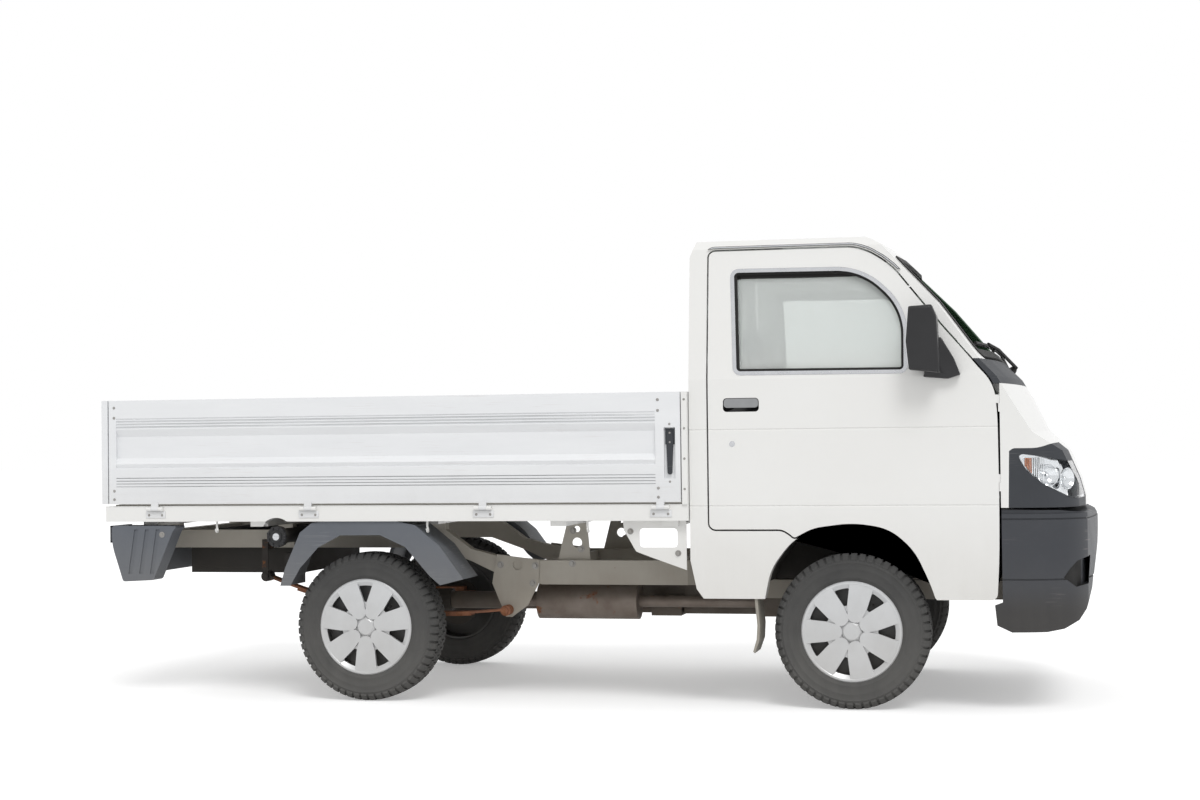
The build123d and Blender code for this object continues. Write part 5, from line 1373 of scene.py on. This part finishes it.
@dataclass
class Headlamp(Sided):
    """What shows behind a clear lens, and the dark fog pocket under it."""

    bowls: tuple[Pair, ...] = ((0.700, 0.834), (0.768, 0.822))
    bowl_r: float = 0.036
    bowl_depth: float = 0.020
    rib_start: float = 0.604
    rib_pitch: float = 0.0062
    rib_half: float = 0.0021
    rib_top: float = 0.896
    ribs: int = 13
    amber_ribs: range = range(2, 6)
    lens_edge: tuple[Pair, ...] = ((0.592, 0.903), (0.609, 0.868), (0.636, 0.836), (0.700, 0.792))
    pocket: Window = (0.740, 0.838, 0.439, 0.550)
    pocket_depth: float = 0.050
    lens: Surface = field(init=False)
    bumper: Surface = field(init=False)

    def __post_init__(self) -> None:
        """Reads the lens's and the bumper's surfaces too."""
        super().__post_init__()
        self.lens = Surface("headlamps")
        self.bumper = Surface("front_bumper")

    def build(self) -> None:
        """Makes all of it."""
        liner = lining("lamp_surrounds", self.behind_lens, 0.0012)
        publish(liner, self.name("lamp_liner"), "chassis", "reflector", outwards=False)
        mesh = bmesh.new()
        for along, height in self.bowls:
            point, normal = self.seen(along, height)
            self.add_bowl(mesh, point - normal * 0.010, normal)
        publish(mesh, self.name("lamp_bowls"), "chassis", "reflector", crease=50.0, outwards=False)
        self.turn_lamp()
        pocket = lining("front_bumper", self.in_pocket, LINER_LIFT)
        publish(pocket, self.name("fog_pocket"), "chassis", "seal_rubber", outwards=False)

    def seen(self, along: float, height: float) -> tuple[Vector, Vector]:
        """The lens's point and normal at a place ahead of the front axle, from the side."""
        return self.lens.hit((self.front + along, self.sign * 2, height), self.out(-1.0))

    def behind_lens(self, face: Face) -> bool:
        """Whether a face of the housing looks at the lens from close behind.

        Args:
            face: The face.

        Returns:
            Whether it does.
        """
        middle = face.calc_center_median()
        if middle.y * self.sign < 0:
            return False
        found = self.lens.tree.ray_cast(middle + face.normal * 0.002, face.normal, 0.055)[0]
        return found is not None and (found - middle).length > 0.012

    def add_bowl(self, mesh: Mesh, centre: Vector, axis: Vector) -> None:
        """Adds a round reflector with a rolled rim and a bulb cap.

        Args:
            mesh: The bmesh that it joins.
            centre: The middle of its rim.
            axis: The way that it faces.
        """
        radius, depth = self.bowl_r, self.bowl_depth
        made = bmesh.new()
        outline = [
            (radius + 0.003, -0.003), (radius + 0.002, 0.0), (radius, 0.0), (radius * 0.82, -depth * 0.42),
            (radius * 0.55, -depth * 0.78), (radius * 0.25, -depth * 0.97), (radius * 0.22, -depth * 0.55),
            (radius * 0.12, -depth * 0.38), (0.0, -depth * 0.34),
        ]
        verts = [made.verts.new((r, 0.0, z)) for r, z in outline]
        edges = [made.edges.new(pair) for pair in zip(verts, verts[1:])]
        bmesh.ops.spin(
            made, geom=verts + edges, cent=(0, 0, 0), axis=(0, 0, 1), steps=28, angle=math.tau, use_merge=True
        )
        bmesh.ops.remove_doubles(made, verts=made.verts, dist=1e-6)
        bmesh.ops.transform(made, matrix=standing(centre, axis), verts=made.verts)
        data = bpy.data.meshes.new("bowl")
        made.to_mesh(data)
        made.free()
        mesh.from_mesh(data)
        bpy.data.meshes.remove(data)

    def turn_lamp(self) -> None:
        """Adds the upright ribs at the lamp's rear end, the rearmost of them amber."""
        meshes = {"amber": bmesh.new(), "reflector": bmesh.new()}
        for index in range(self.ribs):
            along = self.rib_start + index * self.rib_pitch
            bottom = self.edge_at(along) + 0.006
            if self.rib_top - bottom < 0.012:
                continue
            point, _ = self.seen(along, (bottom + self.rib_top) / 2)
            depth = sorted((point.y - self.sign * 0.007, point.y - self.sign * 0.016))
            x = self.front + along
            low, high = (x - self.rib_half, depth[0], bottom), (x + self.rib_half, depth[1], self.rib_top)
            add_block(meshes["amber" if index in self.amber_ribs else "reflector"], low, high, 0.0008)
        for finish, mesh in meshes.items():
            publish(mesh, self.name(f"lamp_ribs_{finish}"), "chassis", finish)

    def edge_at(self, along: float) -> float:
        """The height of the lens's lower edge at a distance before the front axle.

        Args:
            along: The distance.

        Returns:
            The height.
        """
        for (x0, z0), (x1, z1) in zip(self.lens_edge, self.lens_edge[1:]):
            if along <= x1:
                return z0 + (z1 - z0) * (along - x0) / (x1 - x0)
        return self.lens_edge[-1][1]

    def in_pocket(self, face: Face) -> bool:
        """Whether a face lies inside the fog lamp's pocket, a little behind the bumper's skin.

        Args:
            face: The face.

        Returns:
            Whether it does.
        """
        middle = face.calc_center_median()
        if not within(self.pocket, middle, self.front) or middle.y * self.sign < 0:
            return False
        skin, _ = self.bumper.hit((middle.x, self.sign * 2, self.pocket[3] + 0.040), self.out(-1.0))
        return 0.003 < abs(skin.y) - abs(middle.y) < self.pocket_depth


@dataclass
class CabInterior:
    """The dial hood and vents, the gear lever, the pedals and the mirror inside the cab."""

    vents: tuple[float, ...] = (-0.50, -0.12, 0.12, 0.53)
    vent_z: float = 1.020
    slats: int = 4
    slat_pitch: float = 0.012
    gear: Triple = (0.085, 0.03, 0.705)
    gear_bends: tuple[Triple, ...] = ((0.0, 0.0, 0.0), (0.030, 0.0, 0.16), (0.010, 0.0, 0.28))
    knob: Triple = (0.010, 0.0, 0.29)
    knob_r: float = 0.022
    pedal_arm: tuple[Pair, ...] = ((0.48, 0.80), (0.43, 0.66), (0.42, 0.60))
    pedals_y: tuple[float, ...] = (0.43, 0.33, 0.22)
    mirror_z: float = 1.560
    mirror_half: Triple = (0.010, 0.115, 0.028)

    def build(self) -> None:
        """Makes the inner fittings."""
        front = axle_x("front")
        self.dash_hood()
        self.gear_lever(front)
        self.pedals(front)
        self.inner_mirror()

    def dash_hood(self) -> None:
        """Makes the hood over the dials and the vents' slats."""
        low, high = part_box("dashboard")
        wheel_low, wheel_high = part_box("steering_wheel")
        middle = (wheel_low.y + wheel_high.y) / 2
        mesh = bmesh.new()
        hood = add_block(mesh, (low.x + 0.085, middle - 0.17, high.z - 0.012),
                         (low.x + 0.215, middle + 0.17, high.z + 0.040))
        for vert in hood:
            if vert.co.z > high.z and vert.co.x > low.x + 0.2:
                vert.co.z -= 0.030
        round_off(mesh, list(mesh.edges), 0.012, 3)
        for y in self.vents:
            for slat in range(self.slats):
                z = self.vent_z + slat * self.slat_pitch
                add_block(mesh, (low.x - 0.004, y - 0.045, z), (low.x + 0.02, y + 0.045, z + 0.005), 0.001)
        publish(mesh, "dash_hood", "chassis", "dark_plastic")

    def gear_lever(self, front: float) -> None:
        """Makes the lever with its knob, in its boot beside the driver.

        Args:
            front: Where the front axle is.
        """
        mesh = bmesh.new()
        base = Vector(self.gear) + Vector((front, 0.0, 0.0))
        add_disc(mesh, base, (0, 0, 1), 0.040, 0.030, 0.012)
        add_tube(mesh, [base + Vector(bend) for bend in self.gear_bends], 0.006)
        knob = Matrix.Translation(base + Vector(self.knob))
        bmesh.ops.create_icosphere(mesh, subdivisions=2, radius=self.knob_r, matrix=knob)
        publish(mesh, "gear_lever", "chassis", "dark_plastic", crease=50.0)

    def pedals(self, front: float) -> None:
        """Makes the three pedals on their arms.

        Args:
            front: Where the front axle is.
        """
        mesh = bmesh.new()
        for y in self.pedals_y:
            add_tube(mesh, [Vector((front + x, y, z)) for x, z in self.pedal_arm], 0.006)
            add_block(mesh, (front + 0.408, y - 0.027, 0.565), (front + 0.420, y + 0.027, 0.625), 0.003)
        publish(mesh, "pedals", "chassis", "seal_rubber")

    def inner_mirror(self) -> None:
        """Makes the mirror that hangs on the windscreen."""
        point, normal = Surface("cab_glass").hit((3.0, 0.0, self.mirror_z), (-1, 0, 0))
        seat = point - normal * 0.008
        mesh = bmesh.new()
        add_tube(mesh, [seat, seat + Vector((-0.045, 0.0, -0.018))], 0.006)
        centre, half = seat + Vector((-0.055, 0.0, -0.030)), Vector(self.mirror_half)
        add_block(mesh, centre - half, centre + half, 0.008)
        publish(mesh, "inner_mirror", "chassis", "dark_plastic")


# ---------------------------------------------------------------------------------------------
# Seats
# ---------------------------------------------------------------------------------------------


@dataclass(frozen=True)
class Pad:
    """One padded part of a seat: its X-Z outline from the front axle, its half width and its seams."""

    name: str
    outline: tuple[Pair, ...]
    half_width: float
    seams: tuple[float, ...]
    fill: float


@dataclass
class Seats:
    """Two seats with sewn cushions, backs and head pads, in place of the plain ones."""

    middle_y: float = 0.350
    voxel: float = 0.008
    pressure: float = 4.0
    frames: int = 20
    cap: float = 0.010
    seam_depth: float = 0.006
    seam_width: float = 0.006
    piping: float = 0.6
    piping_inset: float = 0.004
    rounding: float = 0.012
    pads: tuple[Pad, ...] = (
        Pad("cushion", ((-0.372, 0.735), (-0.378, 0.860), (-0.340, 0.884), (-0.180, 0.868), (-0.030, 0.884),
                        (0.020, 0.858), (0.022, 0.800), (0.005, 0.735)), 0.222, (-0.125, 0.125), 0.8),
        Pad("backrest", ((-0.455, 0.800), (-0.398, 0.860), (-0.402, 0.960), (-0.425, 1.100), (-0.450, 1.235),
                         (-0.480, 1.262), (-0.516, 1.235), (-0.478, 0.860)), 0.212, (-0.125, 0.125), 0.7),
        Pad("head_pad", ((-0.464, 1.292), (-0.456, 1.330), (-0.466, 1.395), (-0.482, 1.435), (-0.503, 1.430),
                         (-0.515, 1.380), (-0.514, 1.300)), 0.125, (), 0.8),
    )

    def build(self) -> None:
        """Makes the pads, the shells and the head pads' rods."""
        front = axle_x("front")
        for pad in self.pads:
            data = self.sewn(pad, front)
            for side in Side:
                self.place(pad, data, side)
        for side in Side:
            self.metalwork(side, front)

    def metalwork(self, side: Side, front: float) -> None:
        """Makes one seat's rods, shell and hinge covers.

        Args:
            side: The seat's side.
            front: Where the front axle is.
        """
        y = side.value * self.middle_y
        mesh = bmesh.new()
        for reach in (-0.055, 0.055):
            rod = [Vector((front - 0.484, y + reach, 1.235)), Vector((front - 0.489, y + reach, 1.315))]
            add_tube(mesh, rod, 0.0055)
        publish(mesh, f"head_pad_rods_{side}", "chassis", "bright_trim")
        mesh = bmesh.new()
        add_block(mesh, (front - 0.415, y - 0.195, 0.7055), (front - 0.030, y + 0.195, 0.742), 0.006)
        for reach in (-0.232, 0.232):
            add_disc(mesh, (front - 0.405, y + reach - 0.006, 0.835), (0, 1, 0), 0.024, 0.012)
        publish(mesh, f"seat_base_{side}", "chassis", "dark_plastic")

    def sewn(self, pad: Pad, front: float) -> bpy.types.Mesh:
        """Makes one pad's finished mesh, centred on Y = 0.

        Args:
            pad: The pad.
            front: Where the front axle is.

        Returns:
            The mesh.
        """
        mesh = bmesh.new()
        face = mesh.faces.new([mesh.verts.new((front + x, -pad.half_width, z)) for x, z in pad.outline])
        extrude(mesh, [face], (0.0, 2 * pad.half_width, 0.0))
        bmesh.ops.recalc_face_normals(mesh, faces=mesh.faces)
        round_off(mesh, list(mesh.edges), self.rounding, 3)
        data = bpy.data.meshes.new(pad.name)
        mesh.to_mesh(data)
        mesh.free()
        holder = bpy.data.objects.new(f"{pad.name}_form", data)
        bpy.context.scene.collection.objects.link(holder)
        remesh = holder.modifiers.new("remesh", "REMESH")
        remesh.mode = "VOXEL"
        remesh.voxel_size = self.voxel
        self.apply(holder)
        self.swell(holder)
        smooth = holder.modifiers.new("smooth", "SMOOTH")
        smooth.factor = 0.5
        smooth.iterations = 6
        finer = holder.modifiers.new("finer", "SUBSURF")
        finer.levels = finer.render_levels = 1
        self.apply(holder)
        result = holder.data
        self.stitch(result, pad)
        bpy.data.objects.remove(holder)
        return result

    def apply(self, holder: bpy.types.Object) -> None:
        """Applies every modifier of an object to its mesh."""
        shown = holder.evaluated_get(bpy.context.evaluated_depsgraph_get())
        holder.data = bpy.data.meshes.new_from_object(shown)
        holder.modifiers.clear()

    def swell(self, holder: bpy.types.Object) -> None:
        """Blows a pad up from inside as cloth, and caps how far it moves.

        Args:
            holder: The pad's object.
        """
        scene = bpy.context.scene
        rest = [vert.co.copy() for vert in holder.data.vertices]
        cloth = holder.modifiers.new("cloth", "CLOTH")
        cloth.settings.use_pressure = True
        cloth.settings.uniform_pressure_force = self.pressure
        cloth.settings.effector_weights.gravity = 0.0
        cloth.settings.quality = 5
        cloth.point_cache.frame_start = 1
        cloth.point_cache.frame_end = self.frames
        for frame in range(1, self.frames + 1):
            scene.frame_set(frame)
        self.apply(holder)
        scene.frame_set(1)
        for vert, start in zip(holder.data.vertices, rest):
            move = vert.co - start
            if move.length > self.cap:
                vert.co = start + move.normalized() * self.cap

    def stitch(self, data: bpy.types.Mesh, pad: Pad) -> None:
        """Presses the sewn seams into a pad.

        Args:
            data: The pad's mesh, centred on Y = 0.
            pad: The pad.
        """
        work = bmesh.new()
        work.from_mesh(data)
        work.normal_update()
        edge = pad.half_width - self.piping_inset
        for vert in work.verts:
            press = sum(self.pinch(vert.co.y - y) for y in pad.seams)
            press += self.piping * self.pinch(abs(vert.co.y) - edge)
            vert.co -= vert.normal * self.seam_depth * press
        work.to_mesh(data)
        work.free()

    def pinch(self, distance: float) -> float:
        """How hard a seam pulls at a distance from it, from 1 on the seam to 0 far away."""
        return math.exp(-((distance / self.seam_width) ** 2))

    def place(self, pad: Pad, data: bpy.types.Mesh, side: Side) -> None:
        """Args:
            pad: The pad.
            data: Its mesh, centred on Y = 0.
            side: The seat's side.
        """
        mesh = bmesh.new()
        mesh.from_mesh(data)
        bmesh.ops.translate(mesh, verts=mesh.verts, vec=(0.0, side.value * self.middle_y, 0.0))
        piece = publish(mesh, f"seat_{pad.name}_{side}", "chassis", "seat_fabric", crease=80.0)
        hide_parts("seats")


# ---------------------------------------------------------------------------------------------
# Load bed
# ---------------------------------------------------------------------------------------------

BOARD_RIVETS_Z = (1.120, 1.081, 0.799, 0.766)
BOARD_RIVET_R = 0.0055


@dataclass
class BedSide(Sided):
    """The rivets, hinge leaves and rope hooks of one side of the bed."""

    latch_screws_z: tuple[float, ...] = (0.822, 1.031)
    latch_pins: tuple[float, ...] = (0.016, 0.050)
    hinges: tuple[float, ...] = (-0.830, -0.206, 0.480)
    leaf_half: float = 0.040
    leaf: float = 0.0035
    leaf_z: Pair = (0.694, 0.720)
    leaf_rivets: Pair = (-0.027, 0.027)
    leaf_rivet_z: float = 0.705
    headboard_rivets_z: tuple[float, ...] = (0.795, 0.905, 1.015, 1.120)
    hooks: tuple[float, ...] = (-0.588, 0.255, 0.870)
    hook_bends: tuple[Triple, ...] = (
        (0.0, 0.0, 0.681), (0.0, 0.0, 0.660), (0.003, 0.002, 0.648), (0.006, 0.010, 0.640),
        (0.006, 0.020, 0.642), (0.006, 0.024, 0.652),
    )

    def build(self) -> None:
        """Makes all of it."""
        self.board_rivets()
        self.latch()
        self.sill_trim()

    def board_rivets(self) -> None:
        """Adds the rivets of the board's end caps and its latch's screws."""
        low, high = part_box(self.name("dropside"))
        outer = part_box("headboard")[1].y * self.sign
        mesh = bmesh.new()
        for x in (low.x + 0.022, high.x - 0.082):
            for z in BOARD_RIVETS_Z:
                add_rivet(mesh, (x, outer, z), self.out(), BOARD_RIVET_R)
        for z in self.latch_screws_z:
            add_rivet(mesh, (high.x - 0.039, outer, z), self.out(), 0.0045)
        publish(mesh, self.name("side_rivets"), self.name("dropside"), "zinc_bolts", crease=50.0)

    def latch(self) -> None:
        """Adds the pins of the board's latch."""
        low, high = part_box(self.name("latch"))
        face = (high.y if self.sign > 0 else low.y) - self.sign * 0.0005
        mesh = bmesh.new()
        for down in self.latch_pins:
            add_rivet(mesh, ((low.x + high.x) / 2, face, high.z - down), self.out(), 0.004)
        publish(mesh, self.name("latch_pins"), self.name("dropside"), "zinc_bolts", crease=50.0)

    def sill_trim(self) -> None:
        """Adds the hinge leaves, rope hooks and headboard rivets."""
        board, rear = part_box("headboard")[1], axle_x("rear")
        sill = self.sign * (board.y - 0.008)
        face = sill + self.sign * self.leaf
        bottom, top = self.leaf_z
        leaves, rivets, hooks = bmesh.new(), bmesh.new(), bmesh.new()
        for x in (*(rear + at for at in self.hinges), board.x - 0.100):
            depth = sorted((sill, face))
            low, high = (x - self.leaf_half, depth[0], bottom), (x + self.leaf_half, depth[1], top)
            add_block(leaves, low, high, 0.0012)
            for reach in self.leaf_rivets:
                add_rivet(rivets, (x + reach, face, self.leaf_rivet_z), self.out(), 0.0050)
        for z in self.headboard_rivets_z:
            add_rivet(rivets, (board.x - 0.010, self.sign * board.y, z), self.out(), 0.0045)
        for at in self.hooks:
            start = Vector((rear + at, self.sign * (abs(sill) - 0.022), 0.0))
            bends = [start + Vector((x, self.sign * y, z)) for x, y, z in self.hook_bends]
            add_tube(hooks, bends, 0.0045)
        publish(leaves, self.name("hinge_leaves"), "chassis", "bed_aluminium")
        publish(rivets, self.name("frame_rivets"), "chassis", "zinc_bolts", crease=50.0)
        publish(hooks, self.name("rope_hooks"), "chassis", "paint_white", crease=60.0)


@dataclass
class BedEnd:
    """The tailgate's rivets and levers, and the floor's ribs."""

    lever_ends: Pair = (0.060, 0.150)
    lever_z: Pair = (1.092, 1.130)
    rib_pitch: float = 0.112
    rib_half: float = 0.006
    rib_height: float = 0.0030

    def build(self) -> None:
        """Makes all of it."""
        self.tail()
        self.floor()

    def tail(self) -> None:
        """Adds the tailgate's rivets and its two locking levers."""
        low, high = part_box("tailgate")
        face = low.x + 0.011
        bottom, top = self.lever_z
        rivets, levers = bmesh.new(), bmesh.new()
        for side in Side:
            sign = side.value
            for z in BOARD_RIVETS_Z:
                add_rivet(rivets, (face, sign * (high.y - 0.015), z), (-1, 0, 0), BOARD_RIVET_R)
            y0, y1 = sorted(sign * (high.y - end) for end in self.lever_ends)
            add_block(levers, (face - 0.003, y0, bottom), (face + 0.003, y1, top), 0.002)
            middle = (bottom + top) / 2
            bar = [Vector((face - 0.004, y0 + 0.012, middle)), Vector((face - 0.006, y1 - 0.012, middle))]
            add_tube(levers, bar, 0.0045)
        publish(rivets, "tail_rivets", "tailgate", "zinc_bolts", crease=50.0)
        publish(levers, "tail_levers", "tailgate", "zinc_bolts", crease=50.0)

    def floor(self) -> None:
        """Adds low anti-slip ribs along the bed's floor."""
        low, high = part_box("bed_floor")
        count = int((high.y - low.y - 0.06) / self.rib_pitch)
        mesh = bmesh.new()
        for index in range(count + 1):
            y = (index - count / 2) * self.rib_pitch
            add_block(mesh, (low.x + 0.020, y - self.rib_half, high.z - 0.0005),
                      (high.x - 0.020, y + self.rib_half, high.z + self.rib_height), 0.0012)
        publish(mesh, "floor_ribs", "chassis", "bed_aluminium")


# ---------------------------------------------------------------------------------------------
# Chassis
# ---------------------------------------------------------------------------------------------


@dataclass
class ChassisTrim:
    """The filler's cap, bolts, the bumper corners' screws, the rear lenses and the valves."""

    filler: Pair = (-0.338, 0.622)
    filler_r: float = 0.040
    grip_lobes: int = 9
    lock_corners: tuple[Triple, Triple] = ((-0.012, -0.0118, -0.0035), (0.012, -0.0075, 0.0035))
    corner_screw: Pair = (-0.809, 0.630)
    frame_bolts: tuple[Pair, ...] = (
        (0.462, 0.500), (0.600, 0.497), (0.590, 0.430), (0.745, 0.630), (0.775, 0.560), (0.745, 0.505),
        (-0.900, 0.600), (-0.420, 0.600), (0.210, 0.600),
    )
    bracket_bolts: tuple[Pair, ...] = ((0.222, 0.640), (0.045, 0.560))
    lamp_ends: Pair = (0.675, 0.525)
    amber_width: float = 0.048
    clear_width: float = 0.036
    rim_half: float = 0.003
    valve_r: float = 0.122
    window_steps: int = 28

    def build(self) -> None:
        """Makes all of it."""
        rear = axle_x("rear")
        self.filler_cap(rear)
        self.bolts(rear)
        self.rear_lenses()
        for axle in ("front", "rear"):
            for side in Side:
                self.valve(axle, side)

    def filler_cap(self, rear: float) -> None:
        """Adds the lobed black grip and the bright lock of the fuel filler.

        Args:
            rear: Where the rear axle is.
        """
        along, height = self.filler
        point, _ = Surface("fuel_tank").hit((rear + along, -2.0, height), (0, 1, 0))
        axis, radius = Vector((0.0, -1.0, 0.0)), self.filler_r
        mesh = bmesh.new()
        add_disc(mesh, point + axis * -0.002, axis, radius, 0.006, radius * 0.96, segments=36)
        for index in range(self.grip_lobes):
            spot = point + around(math.tau * index / self.grip_lobes) * radius * 0.84
            add_disc(mesh, spot, axis, radius * 0.20, 0.0085, radius * 0.14, segments=10)
        add_disc(mesh, point, axis, radius * 0.62, 0.008, radius * 0.55, segments=28)
        publish(mesh, "filler_grip", "chassis", "mirror_black", crease=40.0)
        mesh = bmesh.new()
        add_disc(mesh, point + axis * 0.0075, axis, radius * 0.36, 0.0028, radius * 0.33, segments=28)
        low, high = (Vector(corner) for corner in self.lock_corners)
        add_block(mesh, point + low, point + high, 0.0008)
        publish(mesh, "filler_lock", "chassis", "bright_trim", crease=40.0)

    def bolts(self, rear: float) -> None:
        """Adds the bolts of the spring hangers, rails, plates and bumper corners.

        Args:
            rear: Where the rear axle is.
        """
        frame, bed, corner = Surface("frame"), Surface("bed_frame"), Surface("rear_bumper")
        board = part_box("headboard")[1].x
        bolts, screws = bmesh.new(), bmesh.new()
        for side in Side:
            sign = side.value
            inwards = (0, -sign, 0)
            for along, height in self.frame_bolts:
                add_bolt(bolts, *frame.hit((rear + along, sign * 0.520, height), inwards), 0.014)
            for back, height in self.bracket_bolts:
                add_bolt(bolts, *bed.hit((board - back, sign * 0.76, height), inwards), 0.012)
            along, height = self.corner_screw
            point, normal = corner.hit((rear + along, sign, height), inwards)
            add_disc(screws, point - normal * 0.001, normal, 0.012, 0.0025, 0.011)
            add_disc(screws, point + normal * 0.0015, normal, 0.0065, 0.002, 0.0055, segments=6)
        publish(bolts, "chassis_bolts", "chassis", "zinc_bolts", crease=40.0)
        publish(screws, "corner_screws", "chassis", "zinc_bolts", crease=40.0)

    def rear_lenses(self) -> None:
        """Adds amber and clear sections and a rim to the rear lamps."""
        low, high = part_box("rear_lamps")
        face, bottom, top = low.x, low.z + 0.004, high.z - 0.004
        amber, clear, rim = bmesh.new(), bmesh.new(), bmesh.new()
        for side in Side:
            outer, inner = (side.value * end for end in self.lamp_ends)
            for mesh, start, width in ((amber, outer, -self.amber_width), (clear, inner, self.clear_width)):
                y0, y1 = sorted((start, start + side.value * width))
                add_block(mesh, (face - 0.003, y0 + 0.003, bottom), (face + 0.004, y1, top), 0.0015)
            y0, y1 = sorted((outer, inner))
            bars = [(y0, y1, z, z) for z in (low.z, high.z)] + [(y, y, low.z, high.z) for y in (y0, y1)]
            for low_y, high_y, low_z, high_z in bars:
                first = (face - 0.004, low_y - self.rim_half, low_z - self.rim_half)
                last = (face + 0.014, high_y + self.rim_half, high_z + self.rim_half)
                add_block(rim, first, last, 0.001)
        publish(amber, "rear_turn_lenses", "chassis", "amber")
        publish(clear, "reversing_lenses", "chassis", "cover_silver")
        publish(rim, "rear_lamp_rims", "chassis", "dark_plastic")

    def valve(self, axle: str, side: Side) -> None:
        """Adds a valve stem to a wheel, in a window of its cover.

        Args:
            axle: Front or rear.
            side: The wheel's side.
        """
        where = f"{axle}_{side}"
        low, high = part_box(f"cover_{where}")
        centre = (low + high) / 2
        way = self.window_way(Surface(f"cover_{where}"), centre, side)
        start = Vector((centre.x, side.value * (abs(centre.y) - 0.016), centre.z)) + way * self.valve_r
        mesh = bmesh.new()
        add_disc(mesh, start, Vector((0.0, side.value, 0.0)) - way * 0.2, 0.0048, 0.022, 0.0036, segments=10)
        publish(mesh, f"valve_{where}", f"wheel_{where}", "seal_rubber")

    def window_way(self, cover: Surface, centre: Vector, side: Side) -> Vector:
        """The direction from a wheel cover's middle to the middle of one of its upper windows.

        Args:
            cover: The cover's surface.
            centre: The cover's middle.
            side: The wheel's side.

        Returns:
            The direction.
        """
        for step in range(3, 3 + self.window_steps):
            way = around(math.tau * step / self.window_steps)
            start = centre + way * self.valve_r + Vector((0.0, side.value, 0.0))
            if cover.tree.ray_cast(start, Vector((0.0, -side.value, 0.0)))[0] is None:
                return way
        raise ValueError(f"{cover.node} has no window")


# ---------------------------------------------------------------------------------------------
# Truck
# ---------------------------------------------------------------------------------------------


def dress_nodes(frame: dict) -> None:
    """Gives every CAD node the finish of its slot, or its own where it has one.
    """
    for name, node in frame["nodes"].items():
        for slot in node.material_slots:
            finish = OWN_FINISH.get(name, slot.material.name.split(".")[0])
            slot.material = bpy.data.materials[finish]


def clear_start_scene() -> None:
    """Removes whatever a new file holds."""
    for item in list(bpy.data.objects):
        bpy.data.objects.remove(item)


def release_names() -> None:
    """Renames the frame's own plain materials, so that the finishes can take their names."""
    for material in bpy.data.materials:
        material.name = f"{material.name}.plain"


def assemblies() -> list:
    """Every assembly of the dressed truck, in the order in which they are built."""
    return [
        *(Tyre(axle, side) for axle in ("front", "rear") for side in Side),
        *(DoorWindow(side) for side in Side),
        PaneSeals(),
        Wipers(),
        *(DoorTrim(side) for side in Side),
        *(Headlamp(side) for side in Side),
        CabInterior(),
        Seats(),
        *(BedSide(side) for side in Side),
        BedEnd(),
        ChassisTrim(),
    ]


def main() -> None:
    """Builds the finishes, the stage and the truck's sub-assemblies in order."""
    logging.basicConfig(level=logging.INFO, format="%(message)s")
    clear_start_scene()
    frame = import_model()
    release_names()
    Effects().build()
    for finish in FINISHES:
        finish.build()
    dress_nodes(frame)
    Stage().build()
    for assembly in assemblies():
        assembly.build()


if __name__ == "__main__":
    main()
